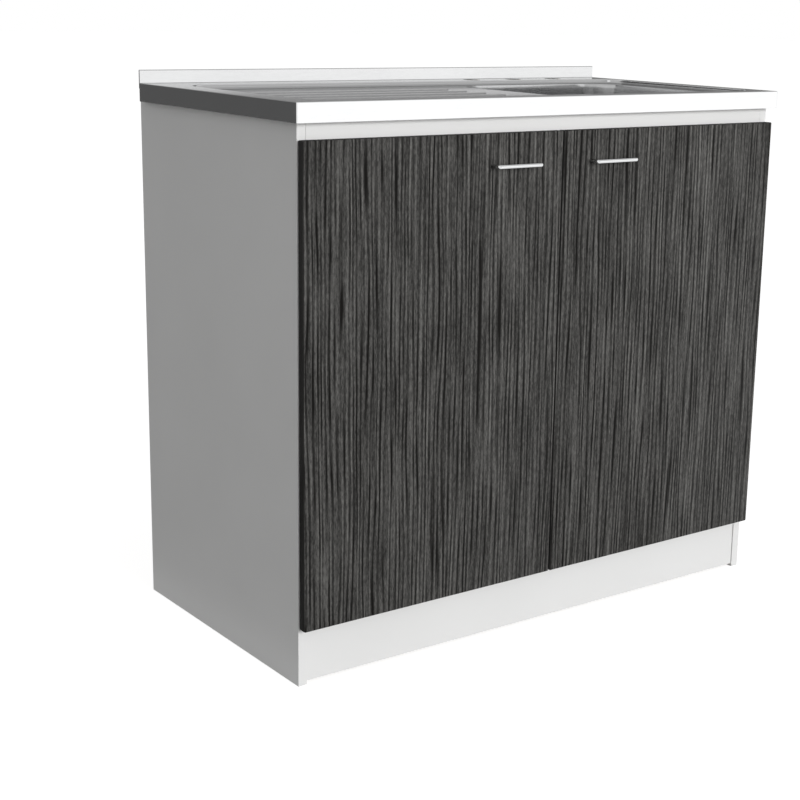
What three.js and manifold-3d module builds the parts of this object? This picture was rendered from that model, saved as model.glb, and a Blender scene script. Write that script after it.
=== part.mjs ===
// A kitchen sink unit: a flat-pack cabinet with two doors under a pressed steel sink top.
// Millimetres, +Z up, the front faces -Y. The floor is Z = 0 and the object is centred on X and Y.
import * as THREE from "three";
import { mergeVertices } from "three/addons/utils/BufferGeometryUtils.js";
import Module from "manifold-3d";

const wasm = await Module();
wasm.setup();

// ---- driving dimensions -------------------------------------------------------------------------

const GAP = 0.3; // between pieces that touch
const BOARD = 15; // melamine-faced chipboard
const SHEET = 1; // stainless sheet

const HANDLE_PROUD = 22; // how far a handle stands out of its door
const DEPTH = 520 + HANDLE_PROUD; // handles to the rear edges of the side panels
const FRONT = -DEPTH / 2 + HANDLE_PROUD; // front face of the apron and of the doors
const BACK = DEPTH / 2; // rear edges of the side panels

const SINK = {
  width: 1000,
  depth: 504,
  rimZ: 900,
  apronDrop: 30,
  edgeRadius: 3,
  upstandHeight: 22,
  upstandThickness: 3,
  recessDepth: 8,
};
const RIM = { left: 45, right: 12, front: 33, back: 68 }; // flat rim around the recess
const RECESS_CORNER = 45;
const RIBS = { count: 5, pitch: 54, length: 400, width: 14, height: 3, fromLeft: 303, fromFront: 214 };
const TAPS = { hole: 32, fromBack: 37, fromLeft: [666, 766, 866] };
const BOWL = { size: 370, corner: 70, depth: 152, fromRight: 45, fromFront: 52, collar: 8 };

const CARCASS = {
  width: 980,
  front: FRONT + BOARD + 2, // the doors are 15 thick and stand 2 off the carcass
  top: SINK.rimZ - SINK.recessDepth - SHEET - GAP,
};
const DOOR = { bottom: 95, top: 845, sideReveal: 1, seam: 3, thickness: BOARD };
const BOTTOM_Z = DOOR.bottom + 2;
const KICK = { recess: 2.4, floorGap: 5.3 };
const FRONT_RAIL_HEIGHT = 80;
const BACK_RAIL = { height: 100, fromBack: 20 };
const BACK_PANEL = { thickness: 3, fromBack: 7, bottom: 60, top: 560, groove: 6 };

const HANDLE = {
  length: 92,
  height: 7.4,
  bar: 5,
  leg: 8,
  corner: 6.5,
  insideCorner: 2.5,
  edge: 1.5,
  fromSeam: 102.5,
  z: 794,
};
const HINGE_Z = [DOOR.bottom + 100, DOOR.top - 100];

// Concealed hinge, seen from above: x inwards from the carcass side, y backwards from its front edge.
const HINGE = {
  cupX: 23.5,
  cupDiameter: 35,
  cupDepth: 12,
  armPivot: [28.5, -8.6], // the link turns here, on the arm
  linkKnee: [28.2, -12.1], // control point of the link's bend
  linkTip: [11.2, -9.1], // the link's other end, in the cup
  linkWidth: 8.8,
  linkThickness: 1.8,
  plateFromEdge: 37, // the plate's screws from the side panel's front edge
};

const WASTE = { hole: 91, seat: 116, seatDrop: 3.5, dish: 84, dishDepth: 27, outlet: 48, bore: 40 };

const COLOURS = {
  melamine: 0xe6e6e4,
  darkGrain: 0x454543,
  steel: 0xb9bbbd,
  chrome: 0xdcdee0,
  hardboard: 0xd8d6d0,
  lath: 0xb58f62,
  zinc: 0xa9abad,
  plastic: 0xd9d9d6,
  rubber: 0x2a2a2b,
};

// ---- places worked out from them ----------------------------------------------------------------

const INNER_X = CARCASS.width / 2 - BOARD; // inner face of a side panel
const SINK_BACK = FRONT + SINK.depth;
const SINK_Y = (FRONT + SINK_BACK) / 2;
const RIM_Z = SINK.rimZ;
const RECESS = {
  x0: -SINK.width / 2 + RIM.left,
  x1: SINK.width / 2 - RIM.right,
  y0: FRONT + RIM.front,
  y1: SINK_BACK - RIM.back,
  z: RIM_Z - SINK.recessDepth,
};
const BOWL_X = SINK.width / 2 - BOWL.fromRight - BOWL.size / 2;
const BOWL_Y = FRONT + BOWL.fromFront + BOWL.size / 2;
const BOWL_FLOOR = RECESS.z - BOWL.depth;
const SEAT_Z = BOWL_FLOOR - WASTE.seatDrop;

// ---- solids -------------------------------------------------------------------------------------

// A closed three.js geometry as a solid that can be cut and joined.
function solid(geometry) {
  const bare = new THREE.BufferGeometry();
  const source = geometry.index ? geometry.toNonIndexed() : geometry;
  bare.setAttribute("position", source.getAttribute("position"));
  const merged = mergeVertices(bare, 1e-4);
  const vertProperties = merged.attributes.position.array;
  const triVerts = new Uint32Array(merged.index.array);
  const made = new wasm.Manifold(new wasm.Mesh({ numProp: 3, vertProperties, triVerts }));
  if (made.volume() > 0) return made;
  triVerts.reverse();
  return new wasm.Manifold(new wasm.Mesh({ numProp: 3, vertProperties, triVerts }));
}

function geometryOf(body) {
  const { vertProperties, triVerts } = body.getMesh();
  const geometry = new THREE.BufferGeometry();
  geometry.setAttribute("position", new THREE.BufferAttribute(vertProperties, 3));
  geometry.setIndex(new THREE.BufferAttribute(triVerts, 1));
  const flat = geometry.toNonIndexed();
  flat.computeVertexNormals();
  return flat;
}

function box(x0, x1, y0, y1, z0, z1) {
  const geometry = new THREE.BoxGeometry(x1 - x0, y1 - y0, z1 - z0);
  geometry.translate((x0 + x1) / 2, (y0 + y1) / 2, (z0 + z1) / 2);
  return solid(geometry);
}

const AXIS_TURN = {
  x: (geometry) => geometry.rotateZ(-Math.PI / 2),
  y: (geometry) => geometry,
  z: (geometry) => geometry.rotateX(Math.PI / 2),
};

// Turns an outline drawn in X and Y into one that stands in Y and Z, with its depth along X.
const CYCLE_AXES = new THREE.Matrix4().set(0, 0, 1, 0, 1, 0, 0, 0, 0, 1, 0, 0, 0, 0, 0, 1);

// A round rod from one point along an axis, of the given length either way.
function rod(axis, start, length, diameter, sides = 16) {
  const geometry = new THREE.CylinderGeometry(diameter / 2, diameter / 2, Math.abs(length), sides);
  geometry.translate(0, length / 2, 0);
  AXIS_TURN[axis](geometry);
  geometry.translate(...start);
  return solid(geometry);
}

// A revolve about Z. The outline is [radius, z] pairs that end on the axis or close on themselves.
function turned(outline, x, y, sides = 18) {
  const points = outline.map(([r, z]) => new THREE.Vector2(r, z));
  const geometry = new THREE.LatheGeometry(points, sides);
  geometry.rotateX(Math.PI / 2);
  geometry.translate(x, y, 0);
  return solid(geometry);
}

// A flat outline drawn in X and Y and raised along Z.
function raised(shape, z0, z1, bevel = 0, curveSegments = 4) {
  const geometry = new THREE.ExtrudeGeometry(shape, {
    depth: z1 - z0 - 2 * bevel,
    bevelEnabled: bevel > 0,
    bevelThickness: bevel,
    bevelSize: bevel,
    bevelOffset: -bevel,
    bevelSegments: 1,
    curveSegments,
  });
  geometry.translate(0, 0, z0 + bevel);
  return solid(geometry);
}

function shapeOf(points) {
  return new THREE.Shape(points.map(([x, y]) => new THREE.Vector2(x, y)));
}

function roundedShape(x0, x1, y0, y1, r) {
  const shape = new THREE.Shape();
  shape.moveTo(x0 + r, y0);
  shape.lineTo(x1 - r, y0);
  shape.absarc(x1 - r, y0 + r, r, -Math.PI / 2, 0);
  shape.lineTo(x1, y1 - r);
  shape.absarc(x1 - r, y1 - r, r, 0, Math.PI / 2);
  shape.lineTo(x0 + r, y1);
  shape.absarc(x0 + r, y1 - r, r, Math.PI / 2, Math.PI);
  shape.lineTo(x0, y0 + r);
  shape.absarc(x0 + r, y0 + r, r, Math.PI, 1.5 * Math.PI);
  return shape;
}

// One ring of a loft: a rounded rectangle at height z, with the same number of points at any size.
function ring(place, steps) {
  const { x, y, w, d, r, z } = place;
  const points = [];
  const corners = [
    [w / 2 - r, d / 2 - r, 0],
    [r - w / 2, d / 2 - r, 1],
    [r - w / 2, r - d / 2, 2],
    [w / 2 - r, r - d / 2, 3],
  ];
  for (const [cx, cy, quarter] of corners) {
    for (let i = 0; i <= steps; i++) {
      const a = ((quarter + i / steps) * Math.PI) / 2;
      points.push([x + cx + r * Math.cos(a), y + cy + r * Math.sin(a), z]);
    }
  }
  return points;
}

// A skin through rings. With caps it is a solid plug. Without, the last ring joins the first.
function loft(places, { steps = 4, caps = true } = {}) {
  const rings = places.map((place) => ring(place, steps));
  const count = rings[0].length;
  const positions = rings.flat(2);
  const faces = [];
  const bands = caps ? rings.length - 1 : rings.length;
  for (let k = 0; k < bands; k++) {
    const low = k * count;
    const high = ((k + 1) % rings.length) * count;
    for (let i = 0; i < count; i++) {
      const j = (i + 1) % count;
      faces.push(low + i, low + j, high + j, low + i, high + j, high + i);
    }
  }
  if (caps) {
    const last = (rings.length - 1) * count;
    for (let i = 1; i < count - 1; i++) {
      faces.push(0, i + 1, i);
      faces.push(last, last + i, last + i + 1);
    }
  }
  const geometry = new THREE.BufferGeometry();
  geometry.setAttribute("position", new THREE.Float32BufferAttribute(positions, 3));
  geometry.setIndex(faces);
  return solid(geometry);
}

// A rounded rectangle grown by an offset, at height z.
function grown(base, offset, z) {
  return {
    x: base.x,
    y: base.y,
    w: base.w + 2 * offset,
    d: base.d + 2 * offset,
    r: Math.max(0.2, base.r + offset),
    z,
  };
}

function join(bodies) {
  return bodies.reduce((whole, body) => whole.add(body));
}

function cut(body, tools) {
  return tools.reduce((rest, tool) => rest.subtract(tool), body);
}

function material(color, roughness, metalness) {
  return new THREE.MeshStandardMaterial({ color, roughness, metalness });
}

const unit = new THREE.Group();

function addPiece(group, name, body, surface) {
  const mesh = new THREE.Mesh(geometryOf(body), surface);
  mesh.name = name;
  group.add(mesh);
}

const melamine = () => material(COLOURS.melamine, 0.45, 0);
const steel = () => material(COLOURS.steel, 0.32, 1);
const zinc = () => material(COLOURS.zinc, 0.35, 1);
const lathWood = () => material(COLOURS.lath, 0.8, 0);

// ---- carcass ------------------------------------------------------------------------------------

const CAM = { diameter: 15, depth: 12, fromEnd: 34, clearance: GAP };
const CAM_SLOT = { length: 10, width: 1.6, depth: 2.5 };
const CAM_POCKET = { width: 4.4, top: 5, bottom: 9.5 };
const CAM_SIDES = 12;
const PIN = 3; // hinge pins
const PLATE_SCREW = { spacing: 32, shank: 5.4, depth: 11, head: 8.4 };
const BOTTOM_BACK = BACK - BACK_PANEL.fromBack - BACK_PANEL.thickness - GAP; // in front of the back panel
const BACK_RAIL_FRONT = BACK - BACK_RAIL.fromBack - BOARD;
const CAM_X = INNER_X - GAP - CAM.fromEnd;

// The left side panel: grooved for the back panel and drilled for the hinge plates.
function sidePanel() {
  const outer = -CARCASS.width / 2;
  const panel = box(outer, -INNER_X, CARCASS.front, BACK, 0, CARCASS.top);
  const grooveBack = BACK - BACK_PANEL.fromBack + GAP;
  const groove = box(
    -INNER_X - BACK_PANEL.groove,
    -INNER_X + 1,
    grooveBack - BACK_PANEL.thickness - 2 * GAP,
    grooveBack,
    -1,
    CARCASS.top + 1,
  );
  const holes = [];
  for (const z of HINGE_Z) {
    for (const side of [-1, 1]) {
      const start = [-INNER_X + 1, CARCASS.front + HINGE.plateFromEdge, z + (side * PLATE_SCREW.spacing) / 2];
      holes.push(rod("x", start, -(PLATE_SCREW.depth + 2), PLATE_SCREW.shank + 2 * GAP, 8));
    }
  }
  return cut(panel, [groove, ...holes]);
}

function camBore(axis, start, direction) {
  const depth = CAM.depth + CAM.clearance;
  return rod(axis, start, direction * depth, CAM.diameter + 2 * CAM.clearance, CAM_SIDES);
}

// An eccentric cam disc with its screwdriver slot and the pocket that grips the bolt. It faces along +Z.
function camDisc() {
  const disc = rod("z", [0, 0, -CAM.depth], CAM.depth, CAM.diameter, CAM_SIDES);
  const { length, width, depth } = CAM_SLOT;
  const slot = box(-length / 2, length / 2, -width / 2, width / 2, -depth, 1);
  const half = CAM_POCKET.width / 2;
  const pocket = box(-CAM.diameter, 1, -half, half, -CAM_POCKET.bottom, -CAM_POCKET.top);
  return cut(disc, [slot, pocket]);
}

const BOTTOM_CAM_FROM_EDGE = 60;
const bottomCams = [];
for (const x of [-CAM_X, CAM_X]) {
  bottomCams.push([x, CARCASS.front + BOTTOM_CAM_FROM_EDGE], [x, BOTTOM_BACK - BOTTOM_CAM_FROM_EDGE]);
}
const FRONT_RAIL_CAM_Z = CARCASS.top - 30;
const BACK_RAIL_CAM_Z = CARCASS.top - BACK_RAIL.height / 2;

function bottomPanel() {
  const panel = box(-INNER_X + GAP, INNER_X - GAP, CARCASS.front, BOTTOM_BACK, BOTTOM_Z, BOTTOM_Z + BOARD);
  return cut(
    panel,
    bottomCams.map(([x, y]) => camBore("z", [x, y, BOTTOM_Z - 0.01], 1)),
  );
}

function frontRail() {
  const back = CARCASS.front + BOARD;
  const rail = box(
    -INNER_X + GAP,
    INNER_X - GAP,
    CARCASS.front,
    back,
    CARCASS.top - FRONT_RAIL_HEIGHT,
    CARCASS.top,
  );
  const bores = [-CAM_X, CAM_X].map((x) => camBore("y", [x, back + 0.01, FRONT_RAIL_CAM_Z], -1));
  return cut(rail, bores);
}

function backRail() {
  const rail = box(
    -INNER_X + GAP,
    INNER_X - GAP,
    BACK_RAIL_FRONT,
    BACK_RAIL_FRONT + BOARD,
    CARCASS.top - BACK_RAIL.height,
    CARCASS.top,
  );
  const bores = [-CAM_X, CAM_X].map((x) => camBore("y", [x, BACK_RAIL_FRONT - 0.01, BACK_RAIL_CAM_Z], 1));
  return cut(rail, bores);
}

function kickBoard() {
  const front = CARCASS.front + KICK.recess;
  return box(-INNER_X + GAP, INNER_X - GAP, front, front + BOARD, KICK.floorGap, BOTTOM_Z - GAP);
}

function backPanel() {
  const back = BACK - BACK_PANEL.fromBack;
  const reach = INNER_X + BACK_PANEL.groove - GAP;
  return box(-reach, reach, back - BACK_PANEL.thickness, back, BACK_PANEL.bottom, BACK_PANEL.top);
}

const CORNER_BLOCK = { size: 30, wall: 3, web: 3, hole: 4.5, holeAt: 18, holeFromEnd: 7, z: 40 };

// A moulded corner block with a web, holding the kick board to the left side panel.
function kickBracket() {
  const { size, wall, web, hole, holeAt, holeFromEnd } = CORNER_BLOCK;
  const angle = shapeOf([
    [0, 0],
    [size, 0],
    [size, wall],
    [wall, wall],
    [wall, size],
    [0, size],
  ]);
  const start = wall / 2;
  const corner = shapeOf([
    [start, start],
    [size - start, start],
    [start, size - start],
  ]);
  const body = join([raised(angle, 0, size), raised(corner, (size - web) / 2, (size + web) / 2)]);
  const holes = [];
  for (const z of [holeFromEnd, size - holeFromEnd]) {
    holes.push(rod("y", [holeAt, -1, z], 2 * wall, hole, 8));
    holes.push(rod("x", [-1, holeAt, z], 2 * wall, hole, 8));
  }
  return cut(body, holes);
}

function addCarcass() {
  const left = new THREE.Group();
  const right = new THREE.Group();
  right.scale.x = -1;
  unit.add(left, right);
  addPiece(left, "side_panel_left", sidePanel(), melamine());
  addPiece(right, "side_panel_right", sidePanel(), melamine());
  addPiece(unit, "bottom_panel", bottomPanel(), melamine());
  addPiece(unit, "front_rail", frontRail(), melamine());
  addPiece(unit, "back_rail", backRail(), melamine());
  addPiece(unit, "kick_board", kickBoard(), melamine());
  addPiece(unit, "back_panel", backPanel(), material(COLOURS.hardboard, 0.7, 0));

  for (const [side, name] of [
    [left, "left"],
    [right, "right"],
  ]) {
    const bracket = new THREE.Group();
    const y = CARCASS.front + KICK.recess + BOARD + GAP;
    bracket.position.set(-INNER_X + GAP, y, CORNER_BLOCK.z);
    side.add(bracket);
    addPiece(bracket, `kick_bracket_${name}`, kickBracket(), material(COLOURS.plastic, 0.5, 0));
  }
}

function addCams() {
  bottomCams.forEach(([x, y], i) => {
    const place = new THREE.Group();
    place.position.set(x, y, BOTTOM_Z);
    place.rotation.set(Math.PI, 0, x > 0 ? Math.PI : 0);
    unit.add(place);
    addPiece(place, `cam_bottom_${i + 1}`, camDisc(), zinc());
  });
  const rails = [
    ["cam_front_rail", CARCASS.front + BOARD, FRONT_RAIL_CAM_Z, -1],
    ["cam_back_rail", BACK_RAIL_FRONT, BACK_RAIL_CAM_Z, 1],
  ];
  for (const [name, y, z, turn] of rails) {
    [-CAM_X, CAM_X].forEach((x, i) => {
      const place = new THREE.Group();
      place.position.set(x, y, z);
      place.rotation.set((turn * Math.PI) / 2, 0, 0);
      place.scale.x = x > 0 ? -1 : 1;
      unit.add(place);
      addPiece(place, `${name}_${i + 1}`, camDisc(), zinc());
    });
  }
}

// ---- sink top -----------------------------------------------------------------------------------

const SINK_OUTLINE = { x: 0, y: SINK_Y, w: SINK.width, d: SINK.depth, r: 4 };
const RECESS_OUTLINE = {
  x: (RECESS.x0 + RECESS.x1) / 2,
  y: (RECESS.y0 + RECESS.y1) / 2,
  w: RECESS.x1 - RECESS.x0,
  d: RECESS.y1 - RECESS.y0,
  r: RECESS_CORNER,
};
const BOWL_OUTLINE = { x: BOWL_X, y: BOWL_Y, w: BOWL.size, d: BOWL.size, r: BOWL.corner };

// Heights and offsets of the recess wall, from the rim down to the floor.
const RECESS_WALL = [
  [0, 0],
  [-1.5, -0.6],
  [-SINK.recessDepth + 2, -3],
  [-SINK.recessDepth, -6],
];
// The rolled edge from the recess floor down into the bowl.
const BOWL_ROLL = [
  [0, 7],
  [-1.2, 4],
  [-3.6, 1.2],
  [-BOWL.collar, 0],
];
const RIB_CROWN = [
  [-0.4, 0],
  [0.55, -0.5],
  [0.9, -2],
  [1, -4],
];

function wallRings(outline, wall, topZ, grow, drop) {
  return wall.map(([z, offset]) => grown(outline, offset + grow, topZ + z - drop)).reverse();
}

function foldedShell() {
  const bottom = RIM_Z - SINK.apronDrop;
  const bend = SINK.edgeRadius;
  const outer = loft([
    grown(SINK_OUTLINE, 0, bottom),
    grown(SINK_OUTLINE, 0, RIM_Z - bend),
    grown(SINK_OUTLINE, -bend * 0.3, RIM_Z - bend * 0.3),
    grown(SINK_OUTLINE, -bend, RIM_Z),
  ]);
  const inner = loft([
    grown(SINK_OUTLINE, -SHEET, bottom - 1),
    grown(SINK_OUTLINE, -SHEET, RIM_Z - bend),
    grown(SINK_OUTLINE, -bend, RIM_Z - SHEET),
  ]);
  // The back edge is turned down only as far as the carcass lets it.
  const behind = box(
    -SINK.width / 2 + SHEET + 0.1,
    SINK.width / 2 - SHEET - 0.1,
    SINK_BACK - 5,
    SINK_BACK + 1,
    bottom - 1,
    RECESS.z - SHEET,
  );
  return cut(outer, [inner, behind]);
}

// The upstand along the back: a hemmed edge with a round top.
function upstand() {
  const t = SINK.upstandThickness;
  const top = RIM_Z + SINK.upstandHeight;
  const profile = new THREE.Shape();
  profile.moveTo(SINK_BACK - t, RIM_Z - SHEET / 2);
  profile.lineTo(SINK_BACK - t, top - t / 2);
  profile.absarc(SINK_BACK - t / 2, top - t / 2, t / 2, Math.PI, 0, true);
  profile.lineTo(SINK_BACK, RIM_Z - SHEET / 2);
  const geometry = new THREE.ExtrudeGeometry(profile, {
    depth: SINK.width,
    bevelEnabled: false,
    curveSegments: 6,
  });
  // The profile's own X and Y become Y and Z, and its depth becomes X.
  geometry.applyMatrix4(CYCLE_AXES);
  geometry.translate(-SINK.width / 2, 0, 0);
  return solid(geometry);
}

function ribOutline(i) {
  return {
    x: -SINK.width / 2 + RIBS.fromLeft,
    y: FRONT + RIBS.fromFront + (i - (RIBS.count - 1) / 2) * RIBS.pitch,
    w: RIBS.length,
    d: RIBS.width,
    r: RIBS.width / 2 - 0.1,
  };
}

function ribSkin(i, inset, drop) {
  const crown = RIB_CROWN.map(([z, offset]) => {
    const height = z < 0 ? z - drop : z * RIBS.height - drop;
    return grown(ribOutline(i), offset - inset, RECESS.z + height);
  });
  return loft(crown, { steps: 3 });
}

function sinkTop() {
  const floorSkin = loft(wallRings(RECESS_OUTLINE, RECESS_WALL, RIM_Z, SHEET, SHEET));
  const underRim = RIM_Z - SHEET - 0.1;
  const rimPlug = loft([grown(RECESS_OUTLINE, SHEET, underRim), grown(RECESS_OUTLINE, SHEET, RIM_Z)]);
  const recess = loft([
    ...wallRings(RECESS_OUTLINE, RECESS_WALL, RIM_Z, 0, 0),
    grown(RECESS_OUTLINE, 0, RIM_Z + 1),
  ]);
  let sheet = cut(join([foldedShell(), upstand(), floorSkin, rimPlug]), [recess]);

  const ribs = [...Array(RIBS.count).keys()];
  sheet = join([sheet, ...ribs.map((i) => ribSkin(i, 0, 0))]);
  sheet = cut(
    sheet,
    ribs.map((i) => ribSkin(i, SHEET, SHEET)),
  );

  const rollSkin = loft(wallRings(BOWL_OUTLINE, BOWL_ROLL, RECESS.z, SHEET, 0), { steps: 6 });
  const rollCut = loft(
    [
      grown(BOWL_OUTLINE, 0, RECESS.z - BOWL.collar - 2),
      ...wallRings(BOWL_OUTLINE, BOWL_ROLL, RECESS.z, 0, 0),
      grown(BOWL_OUTLINE, BOWL_ROLL[0][1], RECESS.z + 1),
    ],
    { steps: 6 },
  );
  sheet = cut(sheet.add(rollSkin), [rollCut]);

  const tapY = SINK_BACK - TAPS.fromBack;
  const tapHoles = TAPS.fromLeft.map((x) =>
    rod("z", [x - SINK.width / 2, tapY, RIM_Z - 3], 6, TAPS.hole, 24),
  );
  return cut(sheet, tapHoles);
}

// The bowl below the collar, pressed with a rounded foot, a dished floor and a seat for the waste.
function sinkBowl() {
  const top = RECESS.z - BOWL.collar - GAP;
  const circle = (diameter, z) => {
    return { x: BOWL_X, y: BOWL_Y, w: diameter, d: diameter, r: diameter / 2, z };
  };
  const inside = [
    grown(BOWL_OUTLINE, 0, top),
    grown(BOWL_OUTLINE, -3, BOWL_FLOOR + 60),
    grown(BOWL_OUTLINE, -6, BOWL_FLOOR + 28),
    grown(BOWL_OUTLINE, -13, BOWL_FLOOR + 12),
    grown(BOWL_OUTLINE, -26, BOWL_FLOOR + 4.5),
    circle(WASTE.seat + 16, BOWL_FLOOR),
    circle(WASTE.seat, BOWL_FLOOR - 1.5),
    circle(WASTE.seat - 3, SEAT_Z),
    circle(WASTE.hole, SEAT_Z),
  ];
  const outside = [
    circle(WASTE.hole, SEAT_Z - SHEET),
    circle(WASTE.seat, SEAT_Z - SHEET),
    circle(WASTE.seat + 3, BOWL_FLOOR - 2),
    circle(WASTE.seat + 16, BOWL_FLOOR - SHEET),
    grown(BOWL_OUTLINE, -26, BOWL_FLOOR + 3.2),
    grown(BOWL_OUTLINE, -12.2, BOWL_FLOOR + 11.2),
    grown(BOWL_OUTLINE, -5, BOWL_FLOOR + 28),
    grown(BOWL_OUTLINE, -2, BOWL_FLOOR + 60),
    grown(BOWL_OUTLINE, SHEET, top),
  ];
  return loft([...inside, ...outside], { steps: 6, caps: false });
}

const LATH = { top: RIM_Z - SHEET - GAP, bottom: CARCASS.top + GAP };

// Wooden packing laths between the carcass and the flat rim.
function addLaths() {
  const edge = SINK.width / 2 - SHEET - SINK.edgeRadius;
  const front = FRONT + SHEET + SINK.edgeRadius;
  const frontBack = RECESS.y0 - SHEET - 1;
  const leftEnd = RECESS.x0 - SHEET - 1;
  const backFront = BACK_RAIL_FRONT;
  const backBack = SINK_BACK - SHEET - 2;
  addPiece(unit, "lath_front", box(-edge, edge, front, frontBack, LATH.bottom, LATH.top), lathWood());
  const left = box(-edge, leftEnd, frontBack + GAP, backFront - GAP, LATH.bottom, LATH.top);
  addPiece(unit, "lath_left", left, lathWood());
  addPiece(unit, "lath_back", box(-edge, edge, backFront, backBack, LATH.bottom, LATH.top), lathWood());
}

const CLIP = { thickness: 1.6, leg: 34, foot: 22, width: 20, hole: 5, legHole: 22, footHole: 13 };
const CLIP_X = { left: -300, right: 40 };

// A bent steel clip that pulls the sink top down onto the front rail or the back rail.
function sinkClip(top) {
  const { thickness, leg, foot, width, hole, legHole, footHole } = CLIP;
  const profile = shapeOf([
    [0, top - leg],
    [thickness, top - leg],
    [thickness, top - thickness],
    [foot, top - thickness],
    [foot, top],
    [0, top],
  ]);
  const through = thickness + 2;
  return cut(raised(profile, -width / 2, width / 2), [
    rod("x", [-1, top - legHole, 0], through, hole, 8),
    rod("y", [footHole, top - thickness - 1, 0], through, hole, 8),
  ]);
}

function addClips() {
  const rails = [
    ["front", CARCASS.front + BOARD + GAP, RECESS.z - SHEET - GAP, 1],
    ["back", BACK_RAIL_FRONT - GAP, RIM_Z - SHEET - GAP, -1],
  ];
  for (const [rail, y, top, facing] of rails) {
    for (const [side, x] of Object.entries(CLIP_X)) {
      const place = new THREE.Group();
      // The clip is drawn in X and Y: its X runs away from the rail and its Y is the height.
      place.matrixAutoUpdate = false;
      place.matrix.set(0, 0, facing, x, facing, 0, 0, y, 0, 1, 0, 0, 0, 0, 0, 1);
      unit.add(place);
      addPiece(place, `sink_clip_${rail}_${side}`, sinkClip(top), zinc());
    }
  }
}

// ---- waste fitting ------------------------------------------------------------------------------

const DISH_TOP = SEAT_Z + GAP + 1.5;
const DISH_FLOOR = DISH_TOP - WASTE.dishDepth;
const SCREW = { shank: 6, head: 14, clearance: 6.8 }; // clamps the dish and the waste body together
const DISH_HOLES = { count: 6, ring: 22, diameter: 10 };
const BASKET_HOLES = [
  { count: 4, ring: 10 },
  { count: 8, ring: 19 },
];

// Round holes on a circle about the bowl's middle, cut upwards from the height z.
function holeRing(count, ringRadius, z, depth, diameter, sides) {
  const holes = [];
  for (let i = 0; i < count; i++) {
    const a = (i * 2 * Math.PI) / count;
    const start = [BOWL_X + ringRadius * Math.cos(a), BOWL_Y + ringRadius * Math.sin(a), z];
    holes.push(rod("z", start, depth, diameter, sides));
  }
  return holes;
}

// The strainer dish: a rim on the seat, a tapered wall and a drilled floor.
function strainerDish() {
  const r = WASTE.dish / 2;
  const inner = SCREW.clearance / 2;
  const rim = WASTE.seat / 2 - 4;
  const outline = [
    [inner, DISH_FLOOR],
    [r - 5, DISH_FLOOR],
    [r - 1, DISH_FLOOR + 6],
    [r + 0.5, SEAT_Z + GAP],
    [rim, SEAT_Z + GAP],
    [rim, SEAT_Z + GAP + 0.6],
    [r + 2, DISH_TOP],
    [r - 1, SEAT_Z],
    [r - 2.2, DISH_FLOOR + 6.5],
    [r - 5.6, DISH_FLOOR + SHEET],
    [inner, DISH_FLOOR + SHEET],
    [inner, DISH_FLOOR],
  ];
  const { count, ring: ringRadius, diameter } = DISH_HOLES;
  const holes = holeRing(count, ringRadius, DISH_FLOOR - 2, SHEET + 4, diameter, 8);
  return cut(turned(outline, BOWL_X, BOWL_Y), holes);
}

// The lift-out basket: a drilled cup with a turned knob.
function strainerBasket() {
  const floor = DISH_FLOOR + SHEET + GAP + 3;
  const outline = [
    [0, floor],
    [26, floor],
    [31, floor + 4],
    [35, floor + 17],
    [38, floor + 18.5],
    [38, floor + 19.5],
    [34.2, floor + 18.2],
    [30, floor + 5],
    [25.5, floor + 1],
    [5, floor + 1],
    [3.2, floor + 4],
    [3.2, floor + 15],
    [7, floor + 18],
    [7, floor + 21],
    [4, floor + 23],
    [0, floor + 23],
  ];
  const holes = BASKET_HOLES.flatMap(({ count, ring: ringRadius }) =>
    holeRing(count, ringRadius, floor - 1, SHEET + 2, 5, 6),
  );
  return cut(turned(outline, BOWL_X, BOWL_Y), holes);
}

const GASKET = { top: SEAT_Z - SHEET - GAP, thickness: 3 };
const BODY_TOP = GASKET.top - GASKET.thickness - GAP;
const BODY = { wall: 3, flange: 5, throat: 28, shoulder: 38, nozzleTop: 47, length: 77 };
const BRIDGE = { width: 12, top: 27, bottom: 34, boss: 14, bossBottom: 40 };
const THREAD = { count: 3, pitch: 6, fromEnd: 4, height: 1.2 };
const OUTLET_END = BODY_TOP - BODY.length;

function wasteGasket() {
  const inner = WASTE.hole / 2 + 1;
  const outer = WASTE.seat / 2 - 2;
  const low = GASKET.top - GASKET.thickness;
  const outline = [
    [inner, low],
    [outer, low],
    [outer, GASKET.top],
    [inner, GASKET.top],
    [inner, low],
  ];
  return turned(outline, BOWL_X, BOWL_Y);
}

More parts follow.
